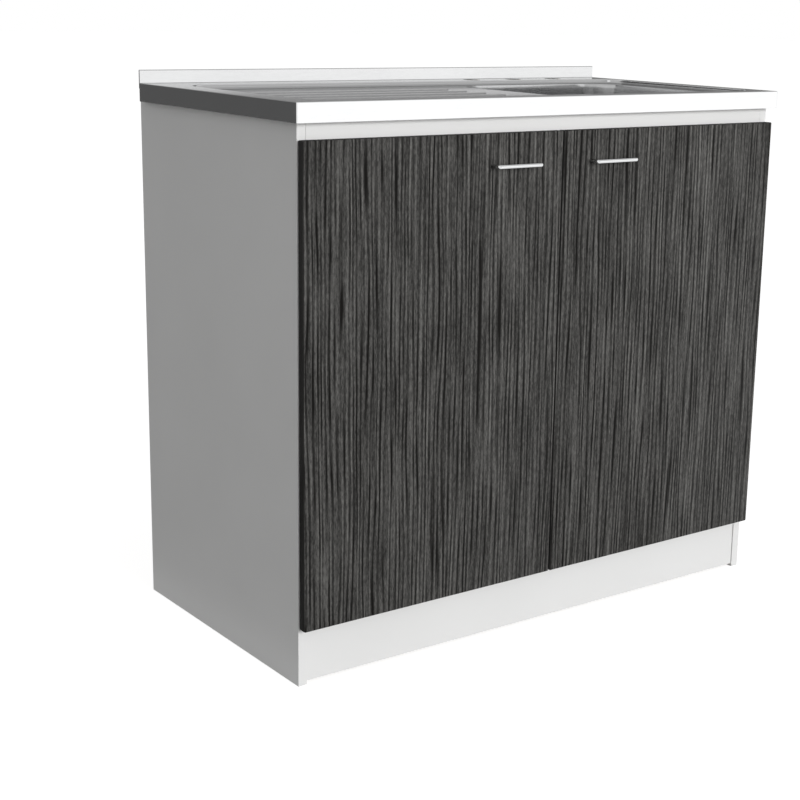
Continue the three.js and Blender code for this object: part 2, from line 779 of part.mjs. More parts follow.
// The moulded waste body: a flange, a funnel with a bridge for the clamp screw, and the outlet nozzle.
function wasteBody() {
  const { wall, flange, throat, shoulder, nozzleTop } = BODY;
  const mouth = WASTE.hole / 2 + 0.5;
  const rim = WASTE.seat / 2 - 1;
  const nozzle = WASTE.outlet / 2;
  const bore = WASTE.bore / 2;
  const outline = [
    [bore, OUTLET_END],
    [nozzle, OUTLET_END],
    [nozzle, BODY_TOP - nozzleTop],
    [mouth - 2 * wall, BODY_TOP - shoulder],
    [mouth + wall, BODY_TOP - throat],
    [mouth + wall, BODY_TOP - flange],
    [rim, BODY_TOP - flange],
    [rim, BODY_TOP],
    [mouth, BODY_TOP],
    [mouth, BODY_TOP - throat + 1],
    [mouth - 8, BODY_TOP - shoulder + wall],
    [bore, BODY_TOP - nozzleTop + wall],
    [bore, OUTLET_END],
  ];
  const funnel = turned(outline, BOWL_X, BOWL_Y);
  const reach = mouth + 1;
  const half = BRIDGE.width / 2;
  const bridge = box(
    BOWL_X - reach,
    BOWL_X + reach,
    BOWL_Y - half,
    BOWL_Y + half,
    BODY_TOP - BRIDGE.bottom,
    BODY_TOP - BRIDGE.top,
  );
  const bossZ = BODY_TOP - BRIDGE.bossBottom;
  const boss = rod("z", [BOWL_X, BOWL_Y, bossZ], BRIDGE.bossBottom - BRIDGE.top, BRIDGE.boss, 10);
  const screwHole = rod("z", [BOWL_X, BOWL_Y, bossZ - 1], 20, SCREW.clearance, 10);
  return cut(join([funnel, bridge, boss, ...nozzleThreads(nozzle)]), [screwHole]);
}

function nozzleThreads(radius) {
  const threads = [];
  for (let i = 0; i < THREAD.count; i++) {
    const z = OUTLET_END + THREAD.fromEnd + i * THREAD.pitch;
    const outline = [
      [radius - 1, z],
      [radius - 1, z + THREAD.pitch / 2],
      [radius + THREAD.height, z + THREAD.pitch / 4],
      [radius - 1, z],
    ];
    threads.push(turned(outline, BOWL_X, BOWL_Y));
  }
  return threads;
}

function wasteScrew() {
  const seat = DISH_FLOOR + SHEET + GAP;
  const tip = BODY_TOP - BRIDGE.bossBottom + 1;
  const [shank, head] = [SCREW.shank / 2, SCREW.head / 2];
  const outline = [
    [0, tip],
    [shank, tip + 1],
    [shank, seat],
    [head, seat],
    [head - 1, seat + 2.2],
    [0, seat + 2.6],
  ];
  const reach = head - 2;
  const slot = box(BOWL_X - reach, BOWL_X + reach, BOWL_Y - 0.7, BOWL_Y + 0.7, seat + 1.2, seat + 4);
  return cut(turned(outline, BOWL_X, BOWL_Y, 16), [slot]);
}

function addSink() {
  addPiece(unit, "sink_top", sinkTop(), steel());
  addPiece(unit, "sink_bowl", sinkBowl(), steel());
  addPiece(unit, "strainer_dish", strainerDish(), steel());
  addPiece(unit, "strainer_basket", strainerBasket(), steel());
  addPiece(unit, "waste_gasket", wasteGasket(), material(COLOURS.rubber, 0.8, 0));
  addPiece(unit, "waste_body", wasteBody(), material(COLOURS.plastic, 0.45, 0));
  addPiece(unit, "waste_screw", wasteScrew(), zinc());
  addLaths();
  addClips();
}

// ---- doors, drawn for the left side: x inwards from the carcass side, y backwards from its front --

const DOOR_BACK = -2;
const DOOR_FRONT = DOOR_BACK - DOOR.thickness;
const DOOR_EDGE = CARCASS.width / 2 - DOOR.seam / 2; // the edge at the seam
const CUP_SIDES = 20;
const CUP_LIP = 1.2; // the cup's flange, proud of the door's back face
const CUP_SCREWS = { spacing: 48, inset: 9.5, shank: 3.4, depth: 10, head: 7 };
const HANDLE_SCREW = { shank: 4, head: 8.5, headHeight: 2.4, bite: 8 };
const DOOR_CORNER = 1.8;
const DOOR_EASE = 0.8; // how far the door's edges are eased
const BUMPER = { diameter: 9, height: 1.3, fromSeam: 25, fromTop: 12 };

const handleCentre = CARCASS.width / 2 - HANDLE.fromSeam;
const handleScrews = [-1, 1].map((side) => handleCentre + (side * (HANDLE.length - HANDLE.leg)) / 2);

function door() {
  const slab = roundedShape(DOOR.sideReveal, DOOR_EDGE, DOOR.bottom, DOOR.top, DOOR_CORNER);
  const geometry = new THREE.ExtrudeGeometry(slab, {
    depth: DOOR.thickness - 2 * DOOR_EASE,
    bevelThickness: DOOR_EASE,
    bevelSize: DOOR_EASE,
    bevelOffset: -DOOR_EASE,
    bevelSegments: 1,
    curveSegments: 1,
  });
  // Drawn upright: the slab's height is Z and its depth runs to the front.
  geometry.rotateX(Math.PI / 2);
  geometry.translate(0, DOOR_BACK - DOOR_EASE, 0);
  const tools = [];
  for (const z of HINGE_Z) {
    const bore = HINGE.cupDiameter;
    tools.push(rod("y", [HINGE.cupX, DOOR_BACK + 1, z], -(HINGE.cupDepth + 1), bore, CUP_SIDES));
    for (const side of [-1, 1]) {
      const x = HINGE.cupX + CUP_SCREWS.inset;
      const start = [x, DOOR_BACK + 1, z + (side * CUP_SCREWS.spacing) / 2];
      tools.push(rod("y", start, -(CUP_SCREWS.depth + 2), CUP_SCREWS.shank + 2 * GAP, 6));
    }
  }
  for (const x of handleScrews) {
    const start = [x, DOOR_BACK + 1, HANDLE.z];
    tools.push(rod("y", start, -(DOOR.thickness + 2), HANDLE_SCREW.shank + 2 * GAP, 8));
  }
  return cut(solid(geometry), tools);
}

// A bow handle of flat bar: two legs and a bar with rounded bends, bored from behind for its screws.
function handle() {
  const back = DOOR_FRONT - GAP;
  const front = DOOR_FRONT - HANDLE_PROUD;
  const x0 = handleCentre - HANDLE.length / 2;
  const x1 = handleCentre + HANDLE.length / 2;
  const r = HANDLE.corner;
  const inner = HANDLE.insideCorner;
  const y = front + HANDLE.bar;
  const shape = new THREE.Shape();
  shape.moveTo(x0, back);
  shape.lineTo(x0, front + r);
  shape.absarc(x0 + r, front + r, r, Math.PI, 1.5 * Math.PI);
  shape.lineTo(x1 - r, front);
  shape.absarc(x1 - r, front + r, r, 1.5 * Math.PI, 2 * Math.PI);
  shape.lineTo(x1, back);
  shape.lineTo(x1 - HANDLE.leg, back);
  shape.lineTo(x1 - HANDLE.leg, y + inner);
  shape.absarc(x1 - HANDLE.leg - inner, y + inner, inner, 0, -Math.PI / 2, true);
  shape.lineTo(x0 + HANDLE.leg + inner, y);
  shape.absarc(x0 + HANDLE.leg + inner, y + inner, inner, 1.5 * Math.PI, Math.PI, true);
  shape.lineTo(x0 + HANDLE.leg, back);
  const half = HANDLE.height / 2;
  const bow = raised(shape, HANDLE.z - half, HANDLE.z + half, HANDLE.edge, 4);
  const bores = handleScrews.map((x) =>
    rod("y", [x, back + 1, HANDLE.z], -(HANDLE_SCREW.bite + 2), HANDLE_SCREW.shank + 2 * GAP, 8),
  );
  return cut(bow, bores);
}

function handleScrew(x) {
  const head = DOOR_BACK + GAP;
  const tip = DOOR_FRONT - HANDLE_SCREW.bite;
  const shank = rod("y", [x, tip, HANDLE.z], head - tip + 0.5, HANDLE_SCREW.shank, 8);
  const cap = rod("y", [x, head, HANDLE.z], HANDLE_SCREW.headHeight, HANDLE_SCREW.head, 10);
  const slot = box(x - 3, x + 3, head + 1.2, head + 4, HANDLE.z - 0.6, HANDLE.z + 0.6);
  return cut(shank.add(cap), [slot]);
}

function doorBumper() {
  const start = [DOOR_EDGE - BUMPER.fromSeam, DOOR_BACK + GAP, DOOR.top - BUMPER.fromTop];
  return rod("y", start, BUMPER.height, BUMPER.diameter, 12);
}

// ---- concealed hinges ---------------------------------------------------------------------------

// The cup's flange: how far its tips and its waist reach from the screws and from the cup's middle.
const FLANGE = { tip: 6, outward: 7, inward: 5, waistInward: 18, waistOutward: 17.3, waist: 12, throat: 9 };

// The pressed cup with its wing flange and the two screws that hold it to the door.
function hingeCup(z) {
  const outer = HINGE.cupDiameter / 2 - GAP;
  const bottom = DOOR_BACK - HINGE.cupDepth + GAP;
  const lip = DOOR_BACK + CUP_LIP;
  const face = DOOR_BACK + GAP;
  const cup = rod("y", [HINGE.cupX, bottom, z], face - bottom + 0.2, 2 * outer, CUP_SIDES);
  const screwX = HINGE.cupX + CUP_SCREWS.inset;
  const reach = CUP_SCREWS.spacing / 2 + FLANGE.tip;
  const wings = shapeOf([
    [screwX - FLANGE.outward, z - reach],
    [screwX + FLANGE.inward, z - reach],
    [HINGE.cupX + FLANGE.waistInward, z - FLANGE.waist],
    [HINGE.cupX + FLANGE.waistInward, z + FLANGE.waist],
    [screwX + FLANGE.inward, z + reach],
    [screwX - FLANGE.outward, z + reach],
    [HINGE.cupX - FLANGE.waistOutward, z + FLANGE.throat],
    [HINGE.cupX - FLANGE.waistOutward, z - FLANGE.throat],
  ]);
  // Drawn in X and Z: the flange's thickness runs along Y.
  const flangeGeometry = new THREE.ExtrudeGeometry(wings, { depth: lip - face, bevelEnabled: false });
  flangeGeometry.rotateX(Math.PI / 2);
  flangeGeometry.translate(0, lip, 0);
  const hollow = rod("y", [HINGE.cupX, bottom + SHEET, z], lip - bottom + 2, 2 * (outer - 1.7), CUP_SIDES);
  const screws = [];
  for (const side of [-1, 1]) {
    const screwZ = z + (side * CUP_SCREWS.spacing) / 2;
    screws.push(rod("y", [screwX, lip + 0.4, screwZ], -(CUP_SCREWS.depth + CUP_LIP), CUP_SCREWS.shank, 6));
  }
  return join([cut(cup.add(solid(flangeGeometry)), [hollow]), ...screws]);
}

// The curved link between the arm and the cup, a bent strip with a rolled eye at each end.
function hingeLink(z) {
  const half = HINGE.linkThickness / 2;
  const points = [HINGE.armPivot, HINGE.linkKnee, HINGE.linkTip];
  const [pivot, knee, tip] = points.map((p) => new THREE.Vector2(...p));
  const bend = new THREE.QuadraticBezierCurve(pivot, knee, tip);
  const steps = 7;
  const near = [];
  const far = [];
  for (let i = 0; i <= steps; i++) {
    const p = bend.getPoint(i / steps);
    const t = bend.getTangent(i / steps);
    near.push([p.x - t.y * half, p.y + t.x * half]);
    far.unshift([p.x + t.y * half, p.y - t.x * half]);
  }
  const low = z - HINGE.linkWidth / 2;
  const high = z + HINGE.linkWidth / 2;
  const strip = raised(shapeOf([...near, ...far]), low, high);
  const eye = rod("z", [pivot.x, pivot.y, low], HINGE.linkWidth, 2 * PIN, 12);
  const roll = rod("z", [tip.x, tip.y, low], HINGE.linkWidth, PIN, 8);
  const bore = rod("z", [pivot.x, pivot.y, low - 1], HINGE.linkWidth + 2, PIN + 2 * GAP, 10);
  return cut(join([strip, eye, roll]), [bore]);
}

const ARM = {
  cheek: 1.5,
  inside: 4.9,
  top: 32,
  low: 17.9,
  back: 60,
  noseRadius: 3.2,
  neck: 2,
  shoulder: 16,
  brow: 8,
  chamfer: 6,
  screwsAt: [28, 46],
  screwHead: 7,
};

// The arm: a channel whose two cheeks carry the link's pin at the nose, with its two setting screws.
function hingeArm(z) {
  const [px, py] = HINGE.armPivot;
  const nose = ARM.noseRadius;
  const side = new THREE.Shape();
  side.moveTo(ARM.low, ARM.back);
  side.lineTo(ARM.low, ARM.shoulder);
  side.lineTo(px - nose, ARM.neck);
  side.lineTo(px - nose, py);
  side.absarc(px, py, nose, Math.PI, 2 * Math.PI);
  side.lineTo(ARM.top, ARM.brow);
  side.lineTo(ARM.top, ARM.back - ARM.chamfer);
  side.lineTo(ARM.top - ARM.chamfer, ARM.back);
  const outside = ARM.inside + ARM.cheek;
  const channel = raised(side, z - outside, z + outside, 0, 6);
  const [z0, z1] = [z - ARM.inside, z + ARM.inside];
  const hollow = box(ARM.low - 1, ARM.top - ARM.cheek, ARM.neck, ARM.back + 1, z0, z1);
  const mouth = box(ARM.low - 1, ARM.top + 1, py - nose - 1, 2 * ARM.neck, z0, z1);
  const pin = rod("z", [px, py, z - outside - 0.5], 2 * outside + 1, PIN, 10);
  const screws = ARM.screwsAt.map((y) => rod("x", [ARM.top - 0.5, y, z], 1.7, ARM.screwHead, 8));
  return join([cut(channel, [hollow, mouth]), pin, ...screws]);
}

const PLATE = { wing: 2, halfWidth: 7, tip: 6, corner: 5, railFront: 22, railBack: 56, play: 0.4 };

// The mounting plate: wings on the side panel with two euro screws, and the rail inside the arm.
function hingePlate(z) {
  const face = BOARD + GAP;
  const y = HINGE.plateFromEdge;
  const reach = PLATE_SCREW.spacing / 2 + PLATE.tip;
  const wings = roundedShape(y - PLATE.halfWidth, y + PLATE.halfWidth, z - reach, z + reach, PLATE.corner);
  const wingGeometry = new THREE.ExtrudeGeometry(wings, {
    depth: PLATE.wing,
    bevelEnabled: false,
    curveSegments: 2,
  });
  // Drawn in Y and Z: the wings' thickness runs along X.
  wingGeometry.applyMatrix4(CYCLE_AXES);
  wingGeometry.translate(face, 0, 0);
  const railTop = ARM.top - ARM.cheek - PLATE.play;
  const half = ARM.inside - PLATE.play;
  const rail = box(face, railTop, PLATE.railFront, PLATE.railBack, z - half, z + half);
  const screws = [];
  for (const side of [-1, 1]) {
    const screwZ = z + (side * PLATE_SCREW.spacing) / 2;
    const shankStart = [face + 1, y, screwZ];
    screws.push(rod("x", shankStart, -(PLATE_SCREW.depth + 1), PLATE_SCREW.shank, 8));
    screws.push(rod("x", [face + PLATE.wing - 0.2, y, screwZ], 1.6, PLATE_SCREW.head, 10));
  }
  return join([solid(wingGeometry), rail, ...screws]);
}

function addDoorSide(name, mirror) {
  const side = new THREE.Group();
  side.position.set((mirror * -CARCASS.width) / 2, CARCASS.front, 0);
  side.scale.x = mirror;
  unit.add(side);
  addPiece(side, `door_${name}`, door(), material(COLOURS.darkGrain, 0.5, 0));
  addPiece(side, `handle_${name}`, handle(), material(COLOURS.chrome, 0.12, 1));
  handleScrews.forEach((x, i) => addPiece(side, `handle_screw_${name}_${i + 1}`, handleScrew(x), zinc()));
  addPiece(side, `door_bumper_${name}`, doorBumper(), material(COLOURS.plastic, 0.4, 0));
  HINGE_Z.forEach((z, i) => {
    const end = i === 0 ? "bottom" : "top";
    addPiece(side, `hinge_cup_${name}_${end}`, hingeCup(z), zinc());
    addPiece(side, `hinge_link_${name}_${end}`, hingeLink(z), zinc());
    addPiece(side, `hinge_arm_${name}_${end}`, hingeArm(z), zinc());
    addPiece(side, `hinge_plate_${name}_${end}`, hingePlate(z), zinc());
  });
}

addCarcass();
addCams();
addSink();
addDoorSide("left", 1);
addDoorSide("right", -1);

export default unit;
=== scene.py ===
"""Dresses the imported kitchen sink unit: fine sheet metal, chrome handles, materials, light and camera."""

import math

import bmesh
import bpy
from mathutils import Matrix, Vector
from mathutils.geometry import delaunay_2d_cdt


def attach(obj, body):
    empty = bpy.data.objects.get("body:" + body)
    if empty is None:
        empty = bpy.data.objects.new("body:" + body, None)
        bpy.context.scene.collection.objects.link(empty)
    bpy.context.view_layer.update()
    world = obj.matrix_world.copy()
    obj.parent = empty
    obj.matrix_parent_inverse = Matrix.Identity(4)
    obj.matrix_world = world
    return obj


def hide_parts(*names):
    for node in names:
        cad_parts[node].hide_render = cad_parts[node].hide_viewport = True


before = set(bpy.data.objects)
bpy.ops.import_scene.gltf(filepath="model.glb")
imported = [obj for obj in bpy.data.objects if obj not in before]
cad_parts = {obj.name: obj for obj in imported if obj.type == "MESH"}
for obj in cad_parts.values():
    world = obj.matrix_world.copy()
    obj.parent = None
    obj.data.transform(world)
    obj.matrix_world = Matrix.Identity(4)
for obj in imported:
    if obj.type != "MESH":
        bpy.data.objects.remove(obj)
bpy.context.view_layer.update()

MM = 0.001

# ---- sizes of the sheet metal, in millimetres, in the part's own frame ---------------------------

# RECESS is its range in X and in Y. BOWL and each rib are a centre, a width, a depth and a corner radius.
FRONT, SINK_BACK, HALF = -249.0, 255.0, 500.0
RIM_Z, APRON = 900.0, 30.0
RECESS = (-455.0, 488.0, -216.0, 187.0)
RECESS_CORNER, RECESS_Z = 45.0, 892.0
BOWL = (270.0, -12.0, 370.0, 370.0, 70.0)
BOWL_FLOOR, SEAT_Z = 740.0, 736.5
RIB_PITCH = 54.0
RIBS = [(-197.0, -143.0 + RIB_PITCH * i, 400.0, 14.0, 6.9) for i in range(5)]
TAPS = [(166.0, 218.0), (266.0, 218.0), (366.0, 218.0)]
TAP_RADIUS = 16.0


# ---- mesh helpers --------------------------------------------------------------------------------


def rounded(x, y, w, d, r, grow=0.0, arc=8, side=1):
    """A rounded rectangle, anticlockwise: arc steps in each corner and side steps along each straight.

    A guard point close to each end of a straight keeps its shading flat."""
    w, d, r = w + 2 * grow, d + 2 * grow, max(0.05, r + grow)
    points = []
    corners = [(1, 1), (-1, 1), (-1, -1), (1, -1)]
    for k, (sx, sy) in enumerate(corners):
        cx, cy = x + sx * (w / 2 - r), y + sy * (d / 2 - r)
        for i in range(arc + 1):
            a = (k + i / arc) * math.pi / 2
            points.append((cx + r * math.cos(a), cy + r * math.sin(a)))
        nx, ny = corners[(k + 1) % 4]
        a = (k + 1) * math.pi / 2
        ex = x + nx * (w / 2 - r) + r * math.cos(a)
        ey = y + ny * (d / 2 - r) + r * math.sin(a)
        px, py = points[-1]
        length = math.hypot(ex - px, ey - py)
        guard = min(1.0, length / 4) / length
        for t in [guard] + [i / side for i in range(1, side)] + [1 - guard]:
            points.append((px + (ex - px) * t, py + (ey - py) * t))
    return points


def circle(x, y, r, n):
    turns = [2 * math.pi * i / n for i in range(n)]
    return [(x + r * math.cos(a), y + r * math.sin(a)) for a in turns]


def encloses(loop, x, y):
    """Whether the point lies inside the loop: an odd number of its sides lie to the right."""
    odd = False
    for (x0, y0), (x1, y1) in zip(loop, loop[1:] + loop[:1]):
        if (y0 > y) != (y1 > y) and x < x0 + (y - y0) * (x1 - x0) / (y1 - y0):
            odd = not odd
    return odd


class Skin:
    """A surface made of rings, the bands between them and flat sheets with holes."""

    def __init__(self):
        self.verts, self.faces = [], []

    def ring(self, points, z):
        start = len(self.verts)
        self.verts += [(x, y, z) for x, y in points]
        return list(range(start, start + len(points)))

    def band(self, a, b, closed=True):
        n = len(a)
        for i in range(n if closed else n - 1):
            j = (i + 1) % n
            self.faces.append((a[i], a[j], b[j], b[i]))

    def rings(self, makers):
        """Rings in order, each joined to the one before. Returns the first and the last."""
        made = [self.ring(p, z) for p, z in makers]
        for a, b in zip(made, made[1:]):
            self.band(a, b)
        return made[0], made[-1]

    def flat(self, loops):
        """Fills the plane between an outer loop and its holes with triangles."""
        order = [i for loop in loops for i in loop]
        coords = [Vector(self.verts[i][:2]) for i in order]
        edges, start = [], 0
        for loop in loops:
            n = len(loop)
            edges += [(start + i, start + (i + 1) % n) for i in range(n)]
            start += n
        verts, _, tris, origin, _, _ = delaunay_2d_cdt(coords, edges, [], 1, 1e-5, True)
        names = []
        for v, ids in zip(verts, origin):
            if ids:
                names.append(order[ids[0]])
            else:
                z = self.verts[order[0]][2]
                names.append(len(self.verts))
                self.verts.append((v.x, v.y, z))
        holes = [[self.verts[i][:2] for i in loop] for loop in loops[1:]]
        for t in tris:
            middle = sum((verts[i] for i in t), Vector((0, 0))) / 3
            if not any(encloses(hole, middle.x, middle.y) for hole in holes):
                self.faces.append(tuple(names[i] for i in t))

    def piece(self, name, material, up=None, thickness=0.0):
        """The object. Bands are quads and shade smooth, flat sheets are triangles and shade flat."""
        mesh = bpy.data.meshes.new(name)
        mesh.from_pydata([Vector(v) * MM for v in self.verts], [], self.faces)
        mesh.validate()
        bm = bmesh.new()
        bm.from_mesh(mesh)
        bmesh.ops.remove_doubles(bm, verts=bm.verts, dist=1e-7)
        bmesh.ops.dissolve_degenerate(bm, edges=bm.edges, dist=1e-8)
        bmesh.ops.recalc_face_normals(bm, faces=bm.faces)
        if up is not None:
            near = min(bm.faces, key=lambda f: (f.calc_center_median() - Vector(up) * MM).length)
            if near.normal.z < 0:
                bmesh.ops.reverse_faces(bm, faces=bm.faces)
        for f in bm.faces:
            f.smooth = len(f.verts) > 3
        bm.to_mesh(mesh)
        bm.free()
        mesh.materials.append(material)
        obj = bpy.data.objects.new(name, mesh)
        bpy.context.scene.collection.objects.link(obj)
        if thickness:
            solid = obj.modifiers.new("sheet", "SOLIDIFY")
            solid.thickness = thickness * MM
            solid.offset = -1
            solid.use_even_offset = False
        return obj


def turned(skin, profile, x, y, sides):
    """An open revolve of (radius, z) pairs about an upright axis. Returns its first ring."""
    first, _ = skin.rings([(circle(x, y, max(r, 0.01), sides), z) for r, z in profile])
    return first


def curve_through(points, steps):
    """A smooth curve through a list of pairs, with as many points in each span as steps."""
    out = []
    for i in range(len(points) - 1):
        p0, p1 = points[max(0, i - 1)], points[i]
        p2, p3 = points[i + 1], points[min(len(points) - 1, i + 2)]
        for step in range(steps):
            t = step / steps
            place = []
            for a, b, c, d in zip(p0, p1, p2, p3):
                linear = (c - a) * t
                square = (2 * a - 5 * b + 4 * c - d) * t * t
                cube = (3 * b - a - 3 * c + d) * t**3
                place.append(0.5 * (2 * b + linear + square + cube))
            out.append(tuple(place))
    out.append(tuple(points[-1]))
    return out


# ---- material helpers ----------------------------------------------------------------------------


class Look:
    """A node material round one surface shader. Names of sockets are written with underscores."""

    def __init__(self, name, **constants):
        self.mat = bpy.data.materials.new(name)
        self.mat.use_nodes = True
        self.tree = self.mat.node_tree
        self.bsdf = self.tree.nodes["Principled BSDF"]
        for key, value in constants.items():
            self.bsdf.inputs[key.replace("_", " ")].default_value = value
        self.coords = self.node("ShaderNodeTexCoord")

    def node(self, kind, **settings):
        made = self.tree.nodes.new(kind)
        for key, value in settings.items():
            setattr(made, key, value)
        return made

    def link(self, source, target):
        if isinstance(source, (int, float)):
            target.default_value = source
        elif isinstance(source, (tuple, list)):
            target.default_value = (*source, 1.0) if len(source) == 3 else source
        else:
            self.tree.links.new(source, target)

    def place(self, scale=(1, 1, 1), source=None):
        """The object's own coordinates in metres, or another vector, scaled along each axis."""
        if source is None:
            source = self.coords.outputs["Object"]
        mapping = self.node("ShaderNodeMapping")
        self.link(source, mapping.inputs["Vector"])
        mapping.inputs["Scale"].default_value = scale
        return mapping.outputs["Vector"]

    def parts(self, output):
        """The three numbers of the object's coordinates or its normal."""
        split = self.node("ShaderNodeSeparateXYZ")
        self.link(self.coords.outputs[output], split.inputs[0])
        return split.outputs

    def noise(self, vector, scale, detail=3.0, rough=0.5, distortion=0.0):
        tex = self.node("ShaderNodeTexNoise")
        self.link(vector, tex.inputs["Vector"])
        tex.inputs["Scale"].default_value = scale
        tex.inputs["Detail"].default_value = detail
        tex.inputs["Roughness"].default_value = rough
        tex.inputs["Distortion"].default_value = distortion
        return tex.outputs[0]

    def math(self, kind, a, b=0.0):
        made = self.node("ShaderNodeMath", operation=kind)
        self.link(a, made.inputs[0])
        self.link(b, made.inputs[1])
        return made.outputs[0]

    def blend(self, a, b, share):
        """The first pattern at its share and the second at the rest."""
        rest = round(1 - share, 6)
        return self.math("ADD", self.math("MULTIPLY", a, share), self.math("MULTIPLY", b, rest))

    def distance(self, value, centre):
        return self.math("ABSOLUTE", self.math("SUBTRACT", value, centre))

    def remap(self, value, low, high, to_low=0.0, to_high=1.0, smooth=False):
        made = self.node("ShaderNodeMapRange", interpolation_type="SMOOTHSTEP" if smooth else "LINEAR")
        keys = ("Value", "From Min", "From Max", "To Min", "To Max")
        for key, source in zip(keys, (value, low, high, to_low, to_high)):
            self.link(source, made.inputs[key])
        return made.outputs["Result"]

    def mix(self, amount, a, b, blend="MIX"):
        made = self.node("ShaderNodeMix", data_type="RGBA", blend_type=blend)
        self.link(amount, made.inputs[0])
        self.link(a, made.inputs[6])
        self.link(b, made.inputs[7])
        return made.outputs[2]

    def bump(self, height, strength, distance):
        made = self.node("ShaderNodeBump")
        made.inputs["Strength"].default_value = strength
        made.inputs["Distance"].default_value = distance
        self.link(height, made.inputs["Height"])
        return made.outputs["Normal"]

    def set(self, **sockets):
        for key, source in sockets.items():
            self.link(source, self.bsdf.inputs[key.replace("_", " ")])
        return self.mat


# How much painted shade darkens the recess and the level faces, as a factor on their colour.
RECESS_SHADE, LEVEL_SHADE = (0.62, 0.62, 0.62), (0.72, 0.72, 0.72)


def recess_shade_mask(look):
    """Mask of the painted shade in the recess: 1 on the pressed recess, half of that lower down in the
    bowl, and 0 on the rim and the apron.
    """
    at = look.parts("Object")
    below_rim = look.remap(at[2], (RIM_Z - 0.3) * MM, (RIM_Z - 2.5) * MM, 0.0, 1.0, True)
    above_bowl = look.remap(at[2], (RECESS_Z - 6) * MM, (RECESS_Z - 1) * MM, 0.5, 1.0)
    inside = look.math("MULTIPLY", below_rim, above_bowl)
    for axis, low_side, high_side in ((0, *RECESS[:2]), (1, *RECESS[2:])):
        middle, half = (low_side + high_side) / 2, (high_side - low_side) / 2
        off = look.distance(at[axis], middle * MM)
        within = look.remap(off, (half + 2) * MM, (half + 6) * MM, 1.0, 0.0)
        inside = look.math("MULTIPLY", inside, within)
    return inside


def stainless(name, low, high, recess=False):
    """Brushed sheet with long streaks and faint clouds. The recess and the level faces carry painted shade.
    """
    look = Look(name, Metallic=1.0)
    fine = look.noise(look.place((6, 260, 30)), 9.0, 4.0, 0.6)
    coarse = look.noise(look.place((1.2, 60, 10)), 5.0, 3.0, 0.55)
    cloud = look.noise(look.place((3, 5, 5)), 2.0, 3.0, 0.5)
    streak = look.blend(fine, coarse, 0.6)
    tone = look.remap(streak, 0.3, 0.7, 0.0, 0.7)
    tone = look.math("ADD", tone, look.remap(cloud, 0.35, 0.75, 0.0, 0.3))
    color = look.mix(tone, (low, low * 1.005, low * 1.01), (high, high * 1.005, high * 1.01))
    rough = look.remap(streak, 0.3, 0.7, 0.10, 0.15)
    # Painted shade: the recess is darkened, and outside it the faces that look up are darkened too.
    if recess:
        inside = recess_shade_mask(look)
        color = look.mix(inside, color, RECESS_SHADE, "MULTIPLY")
        level_shade_mask = look.remap(look.parts("Normal")[2], 0.8, 0.95)
        level = look.math("MULTIPLY", look.math("SUBTRACT", 1.0, inside), level_shade_mask)
        color = look.mix(level, color, LEVEL_SHADE, "MULTIPLY")
    return look.set(Base_Color=color, Roughness=rough, Normal=look.bump(streak, 0.08, 0.0001))


def turned_steel():
    """Small pressed steel, lightly marked round its axis."""
    look = Look("stainless_turned", Metallic=1.0)
    grain = look.noise(look.place((40, 40, 900)), 4.0, 3.0)
    color = look.mix(look.remap(grain, 0.3, 0.7), (0.56, 0.565, 0.57), (0.68, 0.685, 0.69))
    rough = look.remap(grain, 0.3, 0.7, 0.16, 0.28)
    return look.set(Base_Color=color, Roughness=rough, Normal=look.bump(grain, 0.08, 0.0002))


def chrome():
    """Polished chrome under a faint film."""
    look = Look("handle_chrome", Metallic=1.0)
    film = look.noise(look.place(), 60.0, 3.0)
    color = look.mix(look.remap(film, 0.3, 0.7), (0.64, 0.645, 0.65), (0.69, 0.695, 0.70))
    rough = look.remap(film, 0.35, 0.7, 0.05, 0.11)
    return look.set(Base_Color=color, Roughness=rough, Normal=look.bump(film, 0.02, 0.0002))


def plated(name, low, high, rough_low, rough_high):
    """Plated steel: a slightly mottled coating over a rolled surface."""
    look = Look(name, Metallic=1.0)
    mottle = look.noise(look.place(), 220.0, 4.0, 0.6)
    rolled = look.noise(look.place((900, 900, 60)), 1.0, 2.0)
    both = look.blend(mottle, rolled, 0.6)
    color = look.mix(look.remap(both, 0.35, 0.65), low, high)
    rough = look.remap(both, 0.35, 0.65, rough_low, rough_high)
    return look.set(Base_Color=color, Roughness=rough, Normal=look.bump(both, 0.1, 0.0002))


def chipboard(look):
    """Colour and height of the pressed chips on a cut edge."""
    place = look.place((1, 1, 1.6))
    chips = look.node("ShaderNodeTexVoronoi")
    look.link(place, chips.inputs["Vector"])
    chips.inputs["Scale"].default_value = 420.0
    split = look.node("ShaderNodeSeparateColor")
    look.link(chips.outputs["Color"], split.inputs[0])
    tone = look.blend(split.outputs[0], look.noise(place, 900.0), 0.65)
    color = look.mix(look.remap(tone, 0.15, 0.85), (0.26, 0.17, 0.095), (0.62, 0.47, 0.30))
    return color, tone


